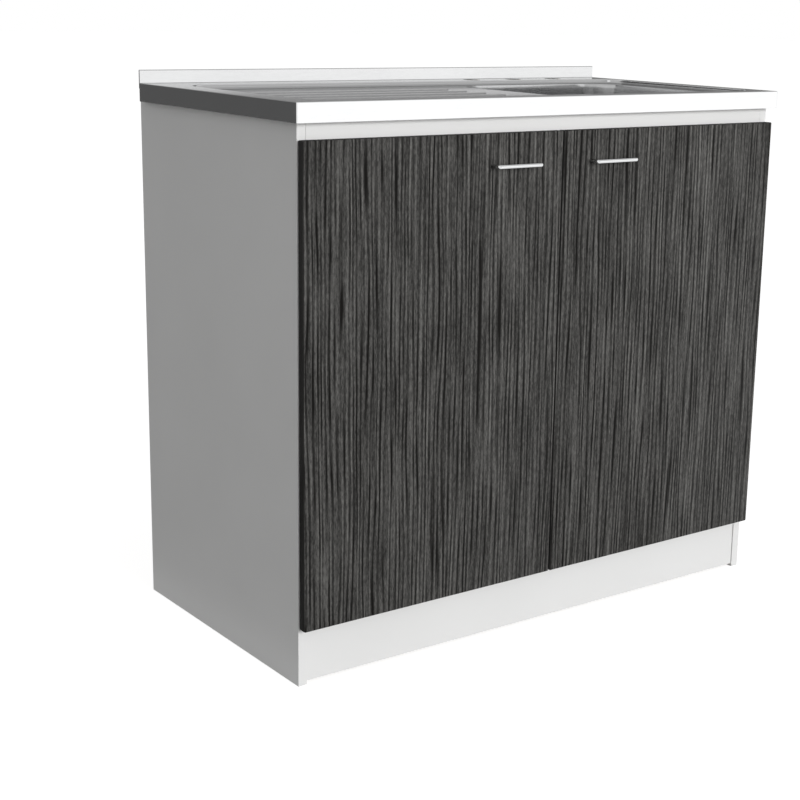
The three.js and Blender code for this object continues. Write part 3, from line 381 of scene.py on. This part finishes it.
def melamine(name, raw_back=False, raw_ends=False, band_y=None):
    """White melamine faces. Edges that no band covers show chipboard, and band_y is the band's seam."""
    look = Look(name)
    look.bsdf.inputs["Specular IOR Level"].default_value = 0.35
    peel = look.noise(look.place(), 1300.0, 2.0, 0.5)
    cloud = look.noise(look.place(), 4.0, 3.0, 0.5)
    speck = look.noise(look.place(), 320.0, 5.0, 0.7)
    color = look.mix(look.remap(cloud, 0.3, 0.7), (0.785, 0.785, 0.78), (0.81, 0.81, 0.805))
    color = look.mix(look.remap(speck, 0.68, 0.78, 0.0, 0.25), color, (0.74, 0.74, 0.73))
    rough = look.remap(cloud, 0.3, 0.7, 0.40, 0.50)
    height = look.math("MULTIPLY", peel, 0.5)
    if band_y is not None:
        off = look.distance(look.parts("Object")[1], band_y)
        seam = look.remap(off, 0.0001, 0.0004, 1.0, 0.0, True)
        color = look.mix(look.math("MULTIPLY", seam, 0.35), color, (0.42, 0.41, 0.39))
    normal = look.parts("Normal")
    raw = 0.0
    if raw_back:
        raw = look.math("GREATER_THAN", normal[1], 0.6)
    if raw_ends:
        ends = look.math("GREATER_THAN", look.math("ABSOLUTE", normal[2]), 0.6)
        raw = look.math("MAXIMUM", raw, ends)
    chips, chip_height = chipboard(look)
    color = look.mix(raw, color, chips)
    rough = look.math("MAXIMUM", rough, look.math("MULTIPLY", raw, 0.85))
    chip_height = look.math("MULTIPLY", look.math("MULTIPLY", raw, chip_height), 6.0)
    height = look.math("ADD", height, chip_height)
    return look.set(Base_Color=color, Roughness=rough, Normal=look.bump(height, 0.25, 0.0001))


def dark_grain():
    """Dark laminate with upright grain: wandering dark lines, light streaks between them, fine pores."""
    look = Look("dark_grain_laminate")
    look.bsdf.inputs["Specular IOR Level"].default_value = 0.05
    sway = look.noise(look.place((1.5, 1.5, 2.5)), 1.0, 2.0)
    shift = look.node("ShaderNodeCombineXYZ")
    look.link(look.math("MULTIPLY", look.math("SUBTRACT", sway, 0.5), 0.012), shift.inputs[0])
    bent = look.node("ShaderNodeVectorMath", operation="ADD")
    look.link(look.coords.outputs["Object"], bent.inputs[0])
    look.link(shift.outputs[0], bent.inputs[1])
    at = look.node("ShaderNodeSeparateXYZ")
    look.link(bent.outputs[0], at.inputs[0])

    def grain(across, along, detail=1.0, rough=0.5):
        return look.noise(look.place((across, across, along), bent.outputs[0]), 1.0, detail, rough)

    line_spacing = 0.0087
    phase = look.math("MULTIPLY", at.outputs[0], 2 * math.pi / line_spacing)
    wander = look.math("MULTIPLY", grain(45, 2.6), 16.0)
    wave = look.math("SINE", look.math("ADD", phase, wander))
    light = look.remap(wave, 0.1, 1.0, 0.0, 0.07, True)
    light = look.math("MULTIPLY", light, look.remap(grain(120, 6), 0.4, 0.6))
    groove = look.remap(wave, 0.2, -0.85, 0.0, 1.0, True)
    groove = look.math("MULTIPLY", groove, look.remap(grain(100, 7), 0.35, 0.6, 0.12, 1.0))
    streaks, pores, cloud = grain(320, 5.4, 1.0, 0.6), grain(560, 130, 2.0, 0.6), grain(22, 7, 2.0)
    tone = look.math("ADD", light, 0.0145)
    for amount, pattern in ((0.38, streaks), (0.42, pores), (0.16, cloud)):
        tone = look.math("ADD", tone, look.math("MULTIPLY", pattern, amount))
    ramp = look.node("ShaderNodeValToRGB")
    look.link(tone, ramp.inputs[0])
    stops = ramp.color_ramp.elements
    stops[0].position, stops[0].color = 0.30, (0.013, 0.013, 0.012, 1)
    stops[1].position, stops[1].color = 0.70, (0.17, 0.168, 0.161, 1)
    for position, grey in ((0.42, 0.038), (0.50, 0.068), (0.58, 0.106)):
        stop = stops.new(position)
        stop.color = (grey, grey * 0.98, grey * 0.94, 1)
    color = look.mix(groove, ramp.outputs[0], (0.008, 0.0075, 0.007))
    edge = look.math("LESS_THAN", look.math("ABSOLUTE", look.parts("Normal")[1]), 0.7)
    color = look.mix(look.math("MULTIPLY", edge, 0.8), color, (0.026, 0.0255, 0.025))
    rough = look.remap(tone, 0.4, 0.62, 0.62, 0.5)
    height = look.math("SUBTRACT", tone, look.math("MULTIPLY", groove, 0.35))
    return look.set(Base_Color=color, Roughness=rough, Normal=look.bump(height, 0.25, 0.0004))


def hardboard():
    """Lacquered white inside, raw brown fibre outside."""
    look = Look("hardboard_back")
    look.bsdf.inputs["Specular IOR Level"].default_value = 0.25
    fibre = look.noise(look.place((1, 1, 2)), 500.0, 5.0, 0.7)
    cloud = look.noise(look.place(), 7.0, 4.0)
    brown = look.mix(look.remap(fibre, 0.3, 0.7), (0.20, 0.125, 0.07), (0.36, 0.245, 0.15))
    brown = look.mix(look.remap(cloud, 0.3, 0.8, 0.0, 0.35), brown, (0.40, 0.28, 0.18))
    white = look.mix(look.remap(cloud, 0.3, 0.7), (0.74, 0.735, 0.72), (0.78, 0.775, 0.76))
    outside = look.math("GREATER_THAN", look.parts("Normal")[1], 0.5)
    color = look.mix(outside, white, brown)
    rough = look.remap(outside, 0.0, 1.0, 0.5, 0.85)
    return look.set(Base_Color=color, Roughness=rough, Normal=look.bump(fibre, 0.25, 0.0002))


def sawn_wood():
    """Rough softwood: wavy rings and short fibres along the lath."""
    look = Look("lath_softwood")
    rings = look.noise(look.place((1.5, 60, 60)), 2.0, 4.0, 0.6, 0.6)
    fibre = look.noise(look.place((12, 500, 500)), 1.5, 3.0)
    tone = look.blend(rings, fibre, 0.7)
    color = look.mix(look.remap(tone, 0.35, 0.65), (0.42, 0.27, 0.13), (0.66, 0.48, 0.29))
    rough = look.remap(tone, 0.3, 0.7, 0.85, 0.7)
    return look.set(Base_Color=color, Roughness=rough, Normal=look.bump(tone, 0.4, 0.0004))


def plastic():
    """White moulding with a fine eroded texture."""
    look = Look("white_moulded_plastic")
    texture = look.noise(look.place(), 1600.0, 2.0)
    cloud = look.noise(look.place(), 30.0, 3.0)
    color = look.mix(look.remap(cloud, 0.3, 0.7), (0.72, 0.72, 0.705), (0.78, 0.78, 0.77))
    rough = look.remap(cloud, 0.3, 0.7, 0.35, 0.48)
    return look.set(Base_Color=color, Roughness=rough, Normal=look.bump(texture, 0.15, 0.0001))


def rubber():
    """Black rubber with grey dust."""
    look = Look("gasket_rubber")
    dust = look.noise(look.place(), 260.0, 5.0, 0.7)
    color = look.mix(look.remap(dust, 0.45, 0.8), (0.018, 0.018, 0.019), (0.07, 0.069, 0.067))
    rough = look.remap(dust, 0.3, 0.8, 0.7, 0.9)
    return look.set(Base_Color=color, Roughness=rough, Normal=look.bump(dust, 0.2, 0.0002))


# The sink's steel, with painted shade in the recess and on its level faces.
STEEL = stainless("stainless_satin", 0.64, 0.70, recess=True)
# The upstand is the same steel as the sink, set darker in colour: painted shade.
SHADED_UPSTAND_STEEL = stainless("stainless_upstand_shaded", 0.52, 0.59)
SMALL_STEEL = turned_steel()
CHROME = chrome()
ZINC = plated("zinc_plating", (0.46, 0.465, 0.47), (0.60, 0.605, 0.62), 0.25, 0.40)
NICKEL = plated("nickel_plating", (0.52, 0.52, 0.515), (0.66, 0.66, 0.65), 0.16, 0.28)
BAND_SEAM = -0.2312
SIDE = melamine("white_melamine_side", raw_back=True, raw_ends=True, band_y=BAND_SEAM)
BOTTOM = melamine("white_melamine_bottom", raw_back=True)
RAIL = melamine("white_melamine_rail", raw_ends=True)
GRAIN = dark_grain()
BACKING = hardboard()
SOFTWOOD = sawn_wood()
PLASTIC = plastic()
RUBBER = rubber()

# ---- CAD nodes: materials and the small radius on their edges ------------------------------------

NODE_LOOKS = {
    "side_panel_left": SIDE,
    "side_panel_right": SIDE,
    "bottom_panel": BOTTOM,
    "front_rail": RAIL,
    "back_rail": RAIL,
    "kick_board": RAIL,
    "back_panel": BACKING,
    "waste_gasket": RUBBER,
    "waste_body": PLASTIC,
    "waste_screw": ZINC,
}
PREFIX_LOOKS = (
    ("door_bumper", PLASTIC),
    ("door_", GRAIN),
    ("handle_screw", ZINC),
    ("handle_", CHROME),
    ("hinge_", NICKEL),
    ("cam_", ZINC),
    ("sink_clip", ZINC),
    ("kick_bracket", PLASTIC),
    ("lath_", SOFTWOOD),
    ("strainer", SMALL_STEEL),
    ("sink_", STEEL),
)


def look_of(name):
    if name in NODE_LOOKS:
        return NODE_LOOKS[name]
    return next(look for start, look in PREFIX_LOOKS if name.startswith(start))


# Radius on the edges of each board, in millimetres.
BOARDS = {
    "side_panel_left": 0.2,
    "side_panel_right": 0.2,
    "bottom_panel": 0.2,
    "front_rail": 0.15,
    "back_rail": 0.3,
    "kick_board": 0.2,
    "back_panel": 0.2,
    "door_left": 0.35,
    "door_right": 0.35,
}

WELD_GAP = 2e-6
BEVEL_ANGLE, SPLIT_ANGLE = math.radians(50), math.radians(35)

for name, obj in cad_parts.items():
    mesh = obj.data
    mesh.materials.clear()
    mesh.materials.append(look_of(name))
    if "custom_normal" in mesh.attributes:
        mesh.attributes.remove(mesh.attributes["custom_normal"])
    mesh.polygons.foreach_set("use_smooth", [True] * len(mesh.polygons))
    weld = obj.modifiers.new("weld", "WELD")
    weld.merge_threshold = WELD_GAP
    if name in BOARDS:
        bevel = obj.modifiers.new("edge", "BEVEL")
        bevel.width = BOARDS[name] * MM
        bevel.segments = 2
        bevel.limit_method = "ANGLE"
        bevel.angle_limit = BEVEL_ANGLE
        bevel.harden_normals = True
    else:
        split = obj.modifiers.new("split", "EDGE_SPLIT")
        split.split_angle = SPLIT_ANGLE

# ---- sink top and bowl: one pressed sheet --------------------------------------------------------

x0, x1, y0, y1 = RECESS
RECESS_RECT = ((x0 + x1) / 2, (y0 + y1) / 2, x1 - x0, y1 - y0, RECESS_CORNER)
SINK_CORNER = 1.6
SINK_RECT = (0.0, (FRONT + SINK_BACK) / 2, 2 * HALF, SINK_BACK - FRONT, SINK_CORNER)

sheet = Skin()
bend, corner_arc, bend_arc = 1.2, 5, 6
outer = [(rounded(*SINK_RECT, 0, corner_arc), RIM_Z - z) for z in (9, 8, bend + 0.4, bend)]
for i in range(1, bend_arc + 1):
    a = i * math.pi / 2 / bend_arc
    grow = -bend * (1 - math.cos(a))
    outer.append((rounded(*SINK_RECT, grow, corner_arc), RIM_Z - bend * (1 - math.sin(a))))
outer += [(rounded(*SINK_RECT, -bend - inset, corner_arc), RIM_Z) for inset in (0.3, 0.9)]
lip, rim_out = sheet.rings(outer)


def at_back(i):
    return sheet.verts[i][1] > SINK_BACK - 0.01


# The apron hangs down at the front and the sides, and stops at the back corners.
apron = [i for i in lip if not at_back(i) or abs(sheet.verts[i][0]) > HALF - SINK_CORNER - 0.01]
first = next(k for k, i in enumerate(apron) if sheet.verts[i][0] < 0 and at_back(i))
apron = apron[first:] + apron[:first]
for z in (RIM_Z - APRON + 0.4, RIM_Z - APRON):
    lower = sheet.ring([sheet.verts[i][:2] for i in apron], z)
    sheet.band(apron, lower, closed=False)
    apron = lower

# The recess's wall as pairs of outward offset and height over the rim: tight bend, steep wall, cove.
wall = [(1.2, 0), (0.5, 0), (0.15, 0), (-0.2, -0.2), (-0.55, -0.65), (-0.8, -1.3), (-1.2, -3.5)]
wall += [(-1.6, -5.7), (-1.9, -6.5), (-2.5, -7.3), (-3.5, -7.8), (-4.7, -8.0), (-5.1, -8.0), (-5.7, -8.0)]
rim_in, floor_out = sheet.rings([(rounded(*RECESS_RECT, g, 12), RIM_Z + z) for g, z in wall])
taps = [sheet.ring(circle(x, y, TAP_RADIUS, 48), RIM_Z) for x, y in TAPS]
sheet.flat([rim_out, rim_in, *taps])

# A rib's section as pairs of outward offset and height over the recess.
crown = [(1.6, 0), (1.2, 0), (0.8, 0), (0.3, 0.08), (-0.1, 0.35), (-0.5, 0.8), (-0.9, 1.25)]
crown += [(-1.3, 1.52), (-1.8, 1.6), (-2.2, 1.6), (-2.8, 1.6)]
ribs = []
for rib in RIBS:
    foot, top = sheet.rings([(rounded(*rib, g, 8), RECESS_Z + z) for g, z in crown])
    ribs.append(foot)
    sheet.flat([top])

# The bowl: a small rolled edge, steep walls, a wide foot and a floor that falls to the strainer's seat.
roll, roll_arc = 0.5, 7
profile = [(roll + 0.8, RECESS_Z), (roll + 0.3, RECESS_Z), (roll, RECESS_Z)]
for i in range(1, roll_arc + 1):
    a = math.pi / 2 * (1 - i / roll_arc)
    profile.append((roll * (1 - math.cos(a)), RECESS_Z - roll * (1 - math.sin(a))))
foot_curve = [(0, RECESS_Z - roll), (-1.2, 850), (-3, 800), (-4.4, 780), (-7.6, 764)]
foot_curve += [(-13.5, 753), (-20, 747.6), (-27, 744.9)]
profile += curve_through(foot_curve, 4)[1:]
bowl_rings = [(rounded(*BOWL, g, 14, 10), z) for g, z in profile]
edge_points = bowl_rings[-1][0]
bx, by = BOWL[:2]
angles = [math.atan2(y - by, x - bx) for x, y in edge_points]
floor_fall, floor_steps, drain_radius = 4.9, 10, 66
for i in range(1, floor_steps + 1):
    t = i / floor_steps
    ring = []
    for (x, y), a in zip(edge_points, angles):
        end_x, end_y = bx + drain_radius * math.cos(a), by + drain_radius * math.sin(a)
        ring.append((x + (end_x - x) * t, y + (end_y - y) * t))
    bowl_rings.append((ring, BOWL_FLOOR + floor_fall * (1 - t) ** 1.7))
drain = [(62, 739.7), (59.5, 738.9), (58.2, 737.8), (57.2, 736.9)]
drain += [(55.8, SEAT_Z), (54, SEAT_Z), (46.5, SEAT_Z), (45.5, SEAT_Z - 0.3)]
for radius, z in drain:
    ring = [(bx + radius * math.cos(a), by + radius * math.sin(a)) for a in angles]
    bowl_rings.append((ring, z))
bowl_edge, _ = sheet.rings(bowl_rings)
sheet.flat([floor_out, *ribs, bowl_edge])

sink = sheet.piece("sink_sheet", STEEL, up=(-480, 0, RIM_Z), thickness=1.0)
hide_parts("sink_top", "sink_bowl")
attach(sink, "cabinet")

# The upstand grows out of the ledge in a small cove and ends in a hemmed round top.
up = Skin()
hem, up_top, cove, cove_arc, hem_arc = 3.0, RIM_Z + 22.0, 0.6, 5, 8
up_front, hem_radius = SINK_BACK - hem, hem / 2
section = [(SINK_BACK, RIM_Z - 8.6), (up_front + 1.2, RIM_Z - 0.9), (up_front - cove - 0.4, RIM_Z - 0.05)]
for i in range(cove_arc + 1):
    a = i / cove_arc * math.pi / 2
    section.append((up_front - cove + cove * math.sin(a), RIM_Z + cove - cove * math.cos(a)))
for i in range(hem_arc + 1):
    a = math.pi - i / hem_arc * math.pi
    y = up_front + hem_radius + hem_radius * math.cos(a)
    section.append((y, up_top - hem_radius + hem_radius * math.sin(a)))
ends = []
for x in (-HALF, -HALF + 0.4, -HALF + 0.8, HALF - 0.8, HALF - 0.4, HALF):
    inset = 0.2 if abs(x) == HALF else 0.0
    start = len(up.verts)
    for y, z in section:
        inward = inset if y < up_front + hem_radius else -inset
        up.verts.append((x, y + inward * (z > RIM_Z + 3), min(z, up_top - inset)))
    ends.append(list(range(start, start + len(section))))
for a, b in zip(ends, ends[1:]):
    up.band(a, b)
up.faces.append(tuple(ends[0]))
up.faces.append(tuple(reversed(ends[-1])))
upstand = up.piece("sink_upstand", SHADED_UPSTAND_STEEL)
for face in upstand.data.polygons:
    if abs(face.normal.x) > 0.9:
        face.use_smooth = False
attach(upstand, "cabinet")

# ---- strainer: dish and lift-out basket ----------------------------------------------------------

DISH_FLOOR = SEAT_Z + 1.8 - 27
SIDES = 72
dish = Skin()
screw_hole = dish.ring(circle(bx, by, 3.4, SIDES), DISH_FLOOR + 1)
dish_rings = [(33, DISH_FLOOR + 1), (36.4, DISH_FLOOR + 1.6), (38.4, DISH_FLOOR + 3.4)]
dish_rings += [(39.8, DISH_FLOOR + 6.5), (41, SEAT_Z - 1), (41.8, SEAT_Z + 0.9), (43.2, SEAT_Z + 1.75)]
dish_rings += [(44.6, SEAT_Z + 1.8), (49, SEAT_Z + 1.4), (53.9, SEAT_Z + 0.95)]
dish_edge = turned(dish, dish_rings, bx, by, SIDES)
drains = [dish.ring(circle(x, y, 5, 24), DISH_FLOOR + 1) for x, y in circle(bx, by, 22, 6)]
dish.flat([dish_edge, screw_hole, *drains])
dish_piece = dish.piece("strainer_dish_fine", SMALL_STEEL, up=(bx + 30, by, DISH_FLOOR + 1), thickness=0.6)
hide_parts("strainer_dish")
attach(dish_piece, "cabinet")

CUP = DISH_FLOOR + 4.3
cup = Skin()
cup_rings = [(25.5, CUP + 1), (28, CUP + 1.6), (30, CUP + 5), (34.2, CUP + 18.2)]
cup_rings += [(34.9, CUP + 19), (36, CUP + 19.4), (37.9, CUP + 19.3)]
cup_edge = turned(cup, cup_rings, bx, by, SIDES)
holes = []
for count, radius in ((4, 10), (8, 19)):
    holes += [cup.ring(circle(x, y, 2.5, 16), CUP + 1) for x, y in circle(bx, by, radius, count)]
cup.flat([cup_edge, *holes])
cup_piece = cup.piece("strainer_basket_fine", SMALL_STEEL, up=(bx + 24, by, CUP + 1), thickness=0.8)
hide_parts("strainer_basket")
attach(cup_piece, "basket")

knob = Skin()
knob_profile = [(0, 0.6), (5, 0.6), (4.2, 2), (3.2, 4.5), (3.2, 14.5), (4.6, 16.4), (6.7, 17.9), (7, 18.6)]
knob_profile += [(7, 20.4), (6.4, 21.4), (4.6, 22.4), (2.5, 22.9), (0, 23)]
turned(knob, [(r, CUP + z) for r, z in knob_profile], bx, by, 40)
knob_piece = knob.piece("strainer_knob", SMALL_STEEL)
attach(knob_piece, "basket")

# ---- handles -------------------------------------------------------------------------------------

HANDLE_X, HANDLE_Z, HANDLE_LENGTH, HANDLE_PROUD = 102.5, 794.5, 92.0, 22.0
HANDLE_HALF = 3.15


def bow(centre, inset):
    """The handle's outline from above, drawn in by the inset; the feet stay on the door."""
    back, front = FRONT - 0.3, FRONT - HANDLE_PROUD
    x0, x1 = centre - HANDLE_LENGTH / 2, centre + HANDLE_LENGTH / 2
    leg, bar, outer_radius, inner_radius, arc_steps = 8.0, 5.0, 6.5, 2.5, 8
    y = front + bar
    points = [(x0 + inset, back)]

    def arc(cx, cy, radius, start, end):
        for i in range(arc_steps + 1):
            a = math.radians(start + (end - start) * i / arc_steps)
            points.append((cx + radius * math.cos(a), cy + radius * math.sin(a)))

    arc(x0 + outer_radius, front + outer_radius, outer_radius - inset, 180, 270)
    arc(x1 - outer_radius, front + outer_radius, outer_radius - inset, 270, 360)
    points.append((x1 - inset, back))
    points.append((x1 - leg + inset, back))
    arc(x1 - leg - inner_radius, y + inner_radius, inner_radius + inset, 0, -90)
    arc(x0 + leg + inner_radius, y + inner_radius, inner_radius + inset, 270, 180)
    points.append((x0 + leg - inset, back))
    return points


# The bar's section is an ellipse cut level at the top and the bottom, as pairs of inset and height.
TALL, DEEP, STEPS = 3.05, 2.4, 8
turns = [k / STEPS * math.pi / 2 for k in range(STEPS + 1)]
levels = [(DEEP * (1 - math.sin(a)), -HANDLE_HALF + TALL * (1 - math.cos(a))) for a in turns]
levels += [(g, -h) for g, h in reversed(levels)]

for side, centre in (("left", -HANDLE_X), ("right", HANDLE_X)):
    skin = Skin()
    low, high = skin.rings([(bow(centre, g), HANDLE_Z + h) for g, h in levels])
    skin.flat([low])
    skin.flat([high])
    handle = skin.piece("handle_%s_fine" % side, CHROME)
    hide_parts("handle_" + side)
    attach(handle, "door_leaf_" + side)

# ---- floor, backdrop and light -------------------------------------------------------------------


def flat_stage(name, corners, material):
    """One flat face that belongs to the studio and not to the object."""
    mesh = bpy.data.meshes.new(name)
    mesh.from_pydata([Vector(c) for c in corners], [], [tuple(range(len(corners)))])
    mesh.materials.append(material)
    obj = bpy.data.objects.new(name, mesh)
    bpy.context.scene.collection.objects.link(obj)
    return obj


def seen_directly(tree):
    """1 on rays from the camera and on mirror and glass rays."""
    path = tree.nodes.new("ShaderNodeLightPath")
    last = path.outputs["Is Camera Ray"]
    for other in ("Is Glossy Ray", "Is Transmission Ray"):
        high = tree.nodes.new("ShaderNodeMath")
        high.operation = "MAXIMUM"
        tree.links.new(last, high.inputs[0])
        tree.links.new(path.outputs[other], high.inputs[1])
        last = high.outputs[0]
    return last


# Grey of the floor to the lamps, its own glow to the camera, and the world's light on the object.
FLOOR_GREY, FLOOR_GLOW, FLOOR_REACH, FLOOR_Z = 0.45, 0.83, 40.0, -0.0002
WORLD_LIGHT, WORLD_SEEN = 0.455, 1.0

floor_mat = bpy.data.materials.new("pale_floor")
floor_mat.use_nodes = True
tree = floor_mat.node_tree
base = tree.nodes["Principled BSDF"]
base.inputs["Base Color"].default_value = (FLOOR_GREY, FLOOR_GREY, FLOOR_GREY, 1)
base.inputs["Roughness"].default_value = 0.9
base.inputs["Specular IOR Level"].default_value = 0.0
base.inputs["Emission Color"].default_value = (1, 1, 1, 1)
glow = tree.nodes.new("ShaderNodeMath")
glow.operation = "MULTIPLY"
glow.inputs[1].default_value = FLOOR_GLOW
tree.links.new(seen_directly(tree), glow.inputs[0])
tree.links.new(glow.outputs[0], base.inputs["Emission Strength"])
corners = [(x * FLOOR_REACH, y * FLOOR_REACH, FLOOR_Z) for x, y in ((-1, -1), (1, -1), (1, 1), (-1, 1))]
flat_stage("floor", corners, floor_mat)

world = bpy.data.worlds.new("studio")
bpy.context.scene.world = world
world.use_nodes = True
tree = world.node_tree
background = tree.nodes["Background"]
background.inputs["Color"].default_value = (1, 1, 1, 1)
level = tree.nodes.new("ShaderNodeMapRange")
tree.links.new(seen_directly(tree), level.inputs["Value"])
level.inputs["To Min"].default_value = WORLD_LIGHT
level.inputs["To Max"].default_value = WORLD_SEEN
tree.links.new(level.outputs["Result"], background.inputs["Strength"])


def card(name, corners, grey):
    """A studio card that only mirrors see."""
    mat = bpy.data.materials.new(name)
    mat.use_nodes = True
    nodes = mat.node_tree.nodes
    nodes.remove(nodes["Principled BSDF"])
    emit = nodes.new("ShaderNodeEmission")
    emit.inputs["Color"].default_value = (grey, grey, grey, 1)
    mat.node_tree.links.new(emit.outputs[0], nodes["Material Output"].inputs["Surface"])
    obj = flat_stage(name, corners, mat)
    obj.visible_camera = obj.visible_diffuse = obj.visible_shadow = obj.visible_transmission = False


def standing(name, centre, facing, width, height, grey):
    """An upright card."""
    c, f = Vector(centre), Vector(facing).normalized()
    across = f.cross(Vector((0, 0, 1))).normalized() * width / 2
    tall = Vector((0, 0, height / 2))
    card(name, [c - across - tall, c + across - tall, c + across + tall, c - across + tall], grey)


def lying(name, across, along, height, grey):
    """A level card over a range of X and a range of Y."""
    (x0, x1), (y0, y1) = across, along
    card(name, [(x0, y0, height), (x0, y1, height), (x1, y1, height), (x1, y0, height)], grey)


# The dark room to the left and behind, the pale window in front and the ceiling that steel mirrors.
standing("card_dark", (-2.0, 1.75, 0.875), (0.75, -0.66, 0), 3.0, 1.75, 0.11)
lying("card_low", (-3.0, -0.55), (-0.6, 3.0), 0.002, 0.10)
standing("card_high", (-2.6, -2.5, 2.1), (0.72, 0.63, 0), 1.1, 1.0, 2.5)
standing("card_back", (1.9, 2.5, 1.9), (-0.6, -0.8, 0), 5.4, 3.4, 0.24)
standing("card_front", (3.8, -4.6, 1.1), (-0.4, 1, 0), 6.5, 2.2, 1.52)
lying("card_ceiling_back", (-5, 6), (2.5, 9), 3.6, 0.40)
lying("card_ceiling_front", (-5, 6), (-6, 2.5), 3.6, 0.75)


def area(name, place, target, size, watts):
    """A square lamp that mirrors don't see."""
    light = bpy.data.lights.new(name, "AREA")
    light.shape = "SQUARE"
    light.size = size
    light.energy = watts
    obj = bpy.data.objects.new(name, light)
    obj.location = place
    obj.rotation_euler = (Vector(target) - Vector(place)).to_track_quat("-Z", "Y").to_euler()
    obj.visible_glossy = False
    bpy.context.scene.collection.objects.link(obj)


area("key", (0.8, -8.0, 2.6), (0, 0, 0.5), 3.0, 440)

# ---- camera --------------------------------------------------------------------------------------

# The photograph's camera, fitted to the object's corners. Focal length and centre are in its pixels.
YAW, PITCH, ROLL = (math.radians(v) for v in (37.4983, -13.3651, 1.2853))
PLACE = (-1.66686, -2.18643, 1.04206)
FOCAL, CENTRE = 1571.2, (470.0, 376.0)
PICTURE, SENSOR = 800, 36.0

forward = Vector((math.sin(YAW) * math.cos(PITCH), math.cos(YAW) * math.cos(PITCH), math.sin(PITCH)))
right = Vector((math.cos(YAW), -math.sin(YAW), 0))
above = right.cross(forward)
right, above = (
    right * math.cos(ROLL) + above * math.sin(ROLL),
    above * math.cos(ROLL) - right * math.sin(ROLL),
)
camera = bpy.data.cameras.new("camera")
camera.sensor_width = SENSOR
camera.lens = SENSOR * FOCAL / PICTURE
camera.shift_x = (PICTURE / 2 - CENTRE[0]) / PICTURE
camera.shift_y = (CENTRE[1] - PICTURE / 2) / PICTURE
camera.clip_start, camera.clip_end = 0.05, 200
cam = bpy.data.objects.new("camera", camera)
cam.matrix_world = Matrix.Translation(PLACE) @ Matrix((right, above, -forward)).transposed().to_4x4()
bpy.context.scene.collection.objects.link(cam)
bpy.context.scene.camera = cam
bpy.context.scene.view_settings.view_transform = "Standard"
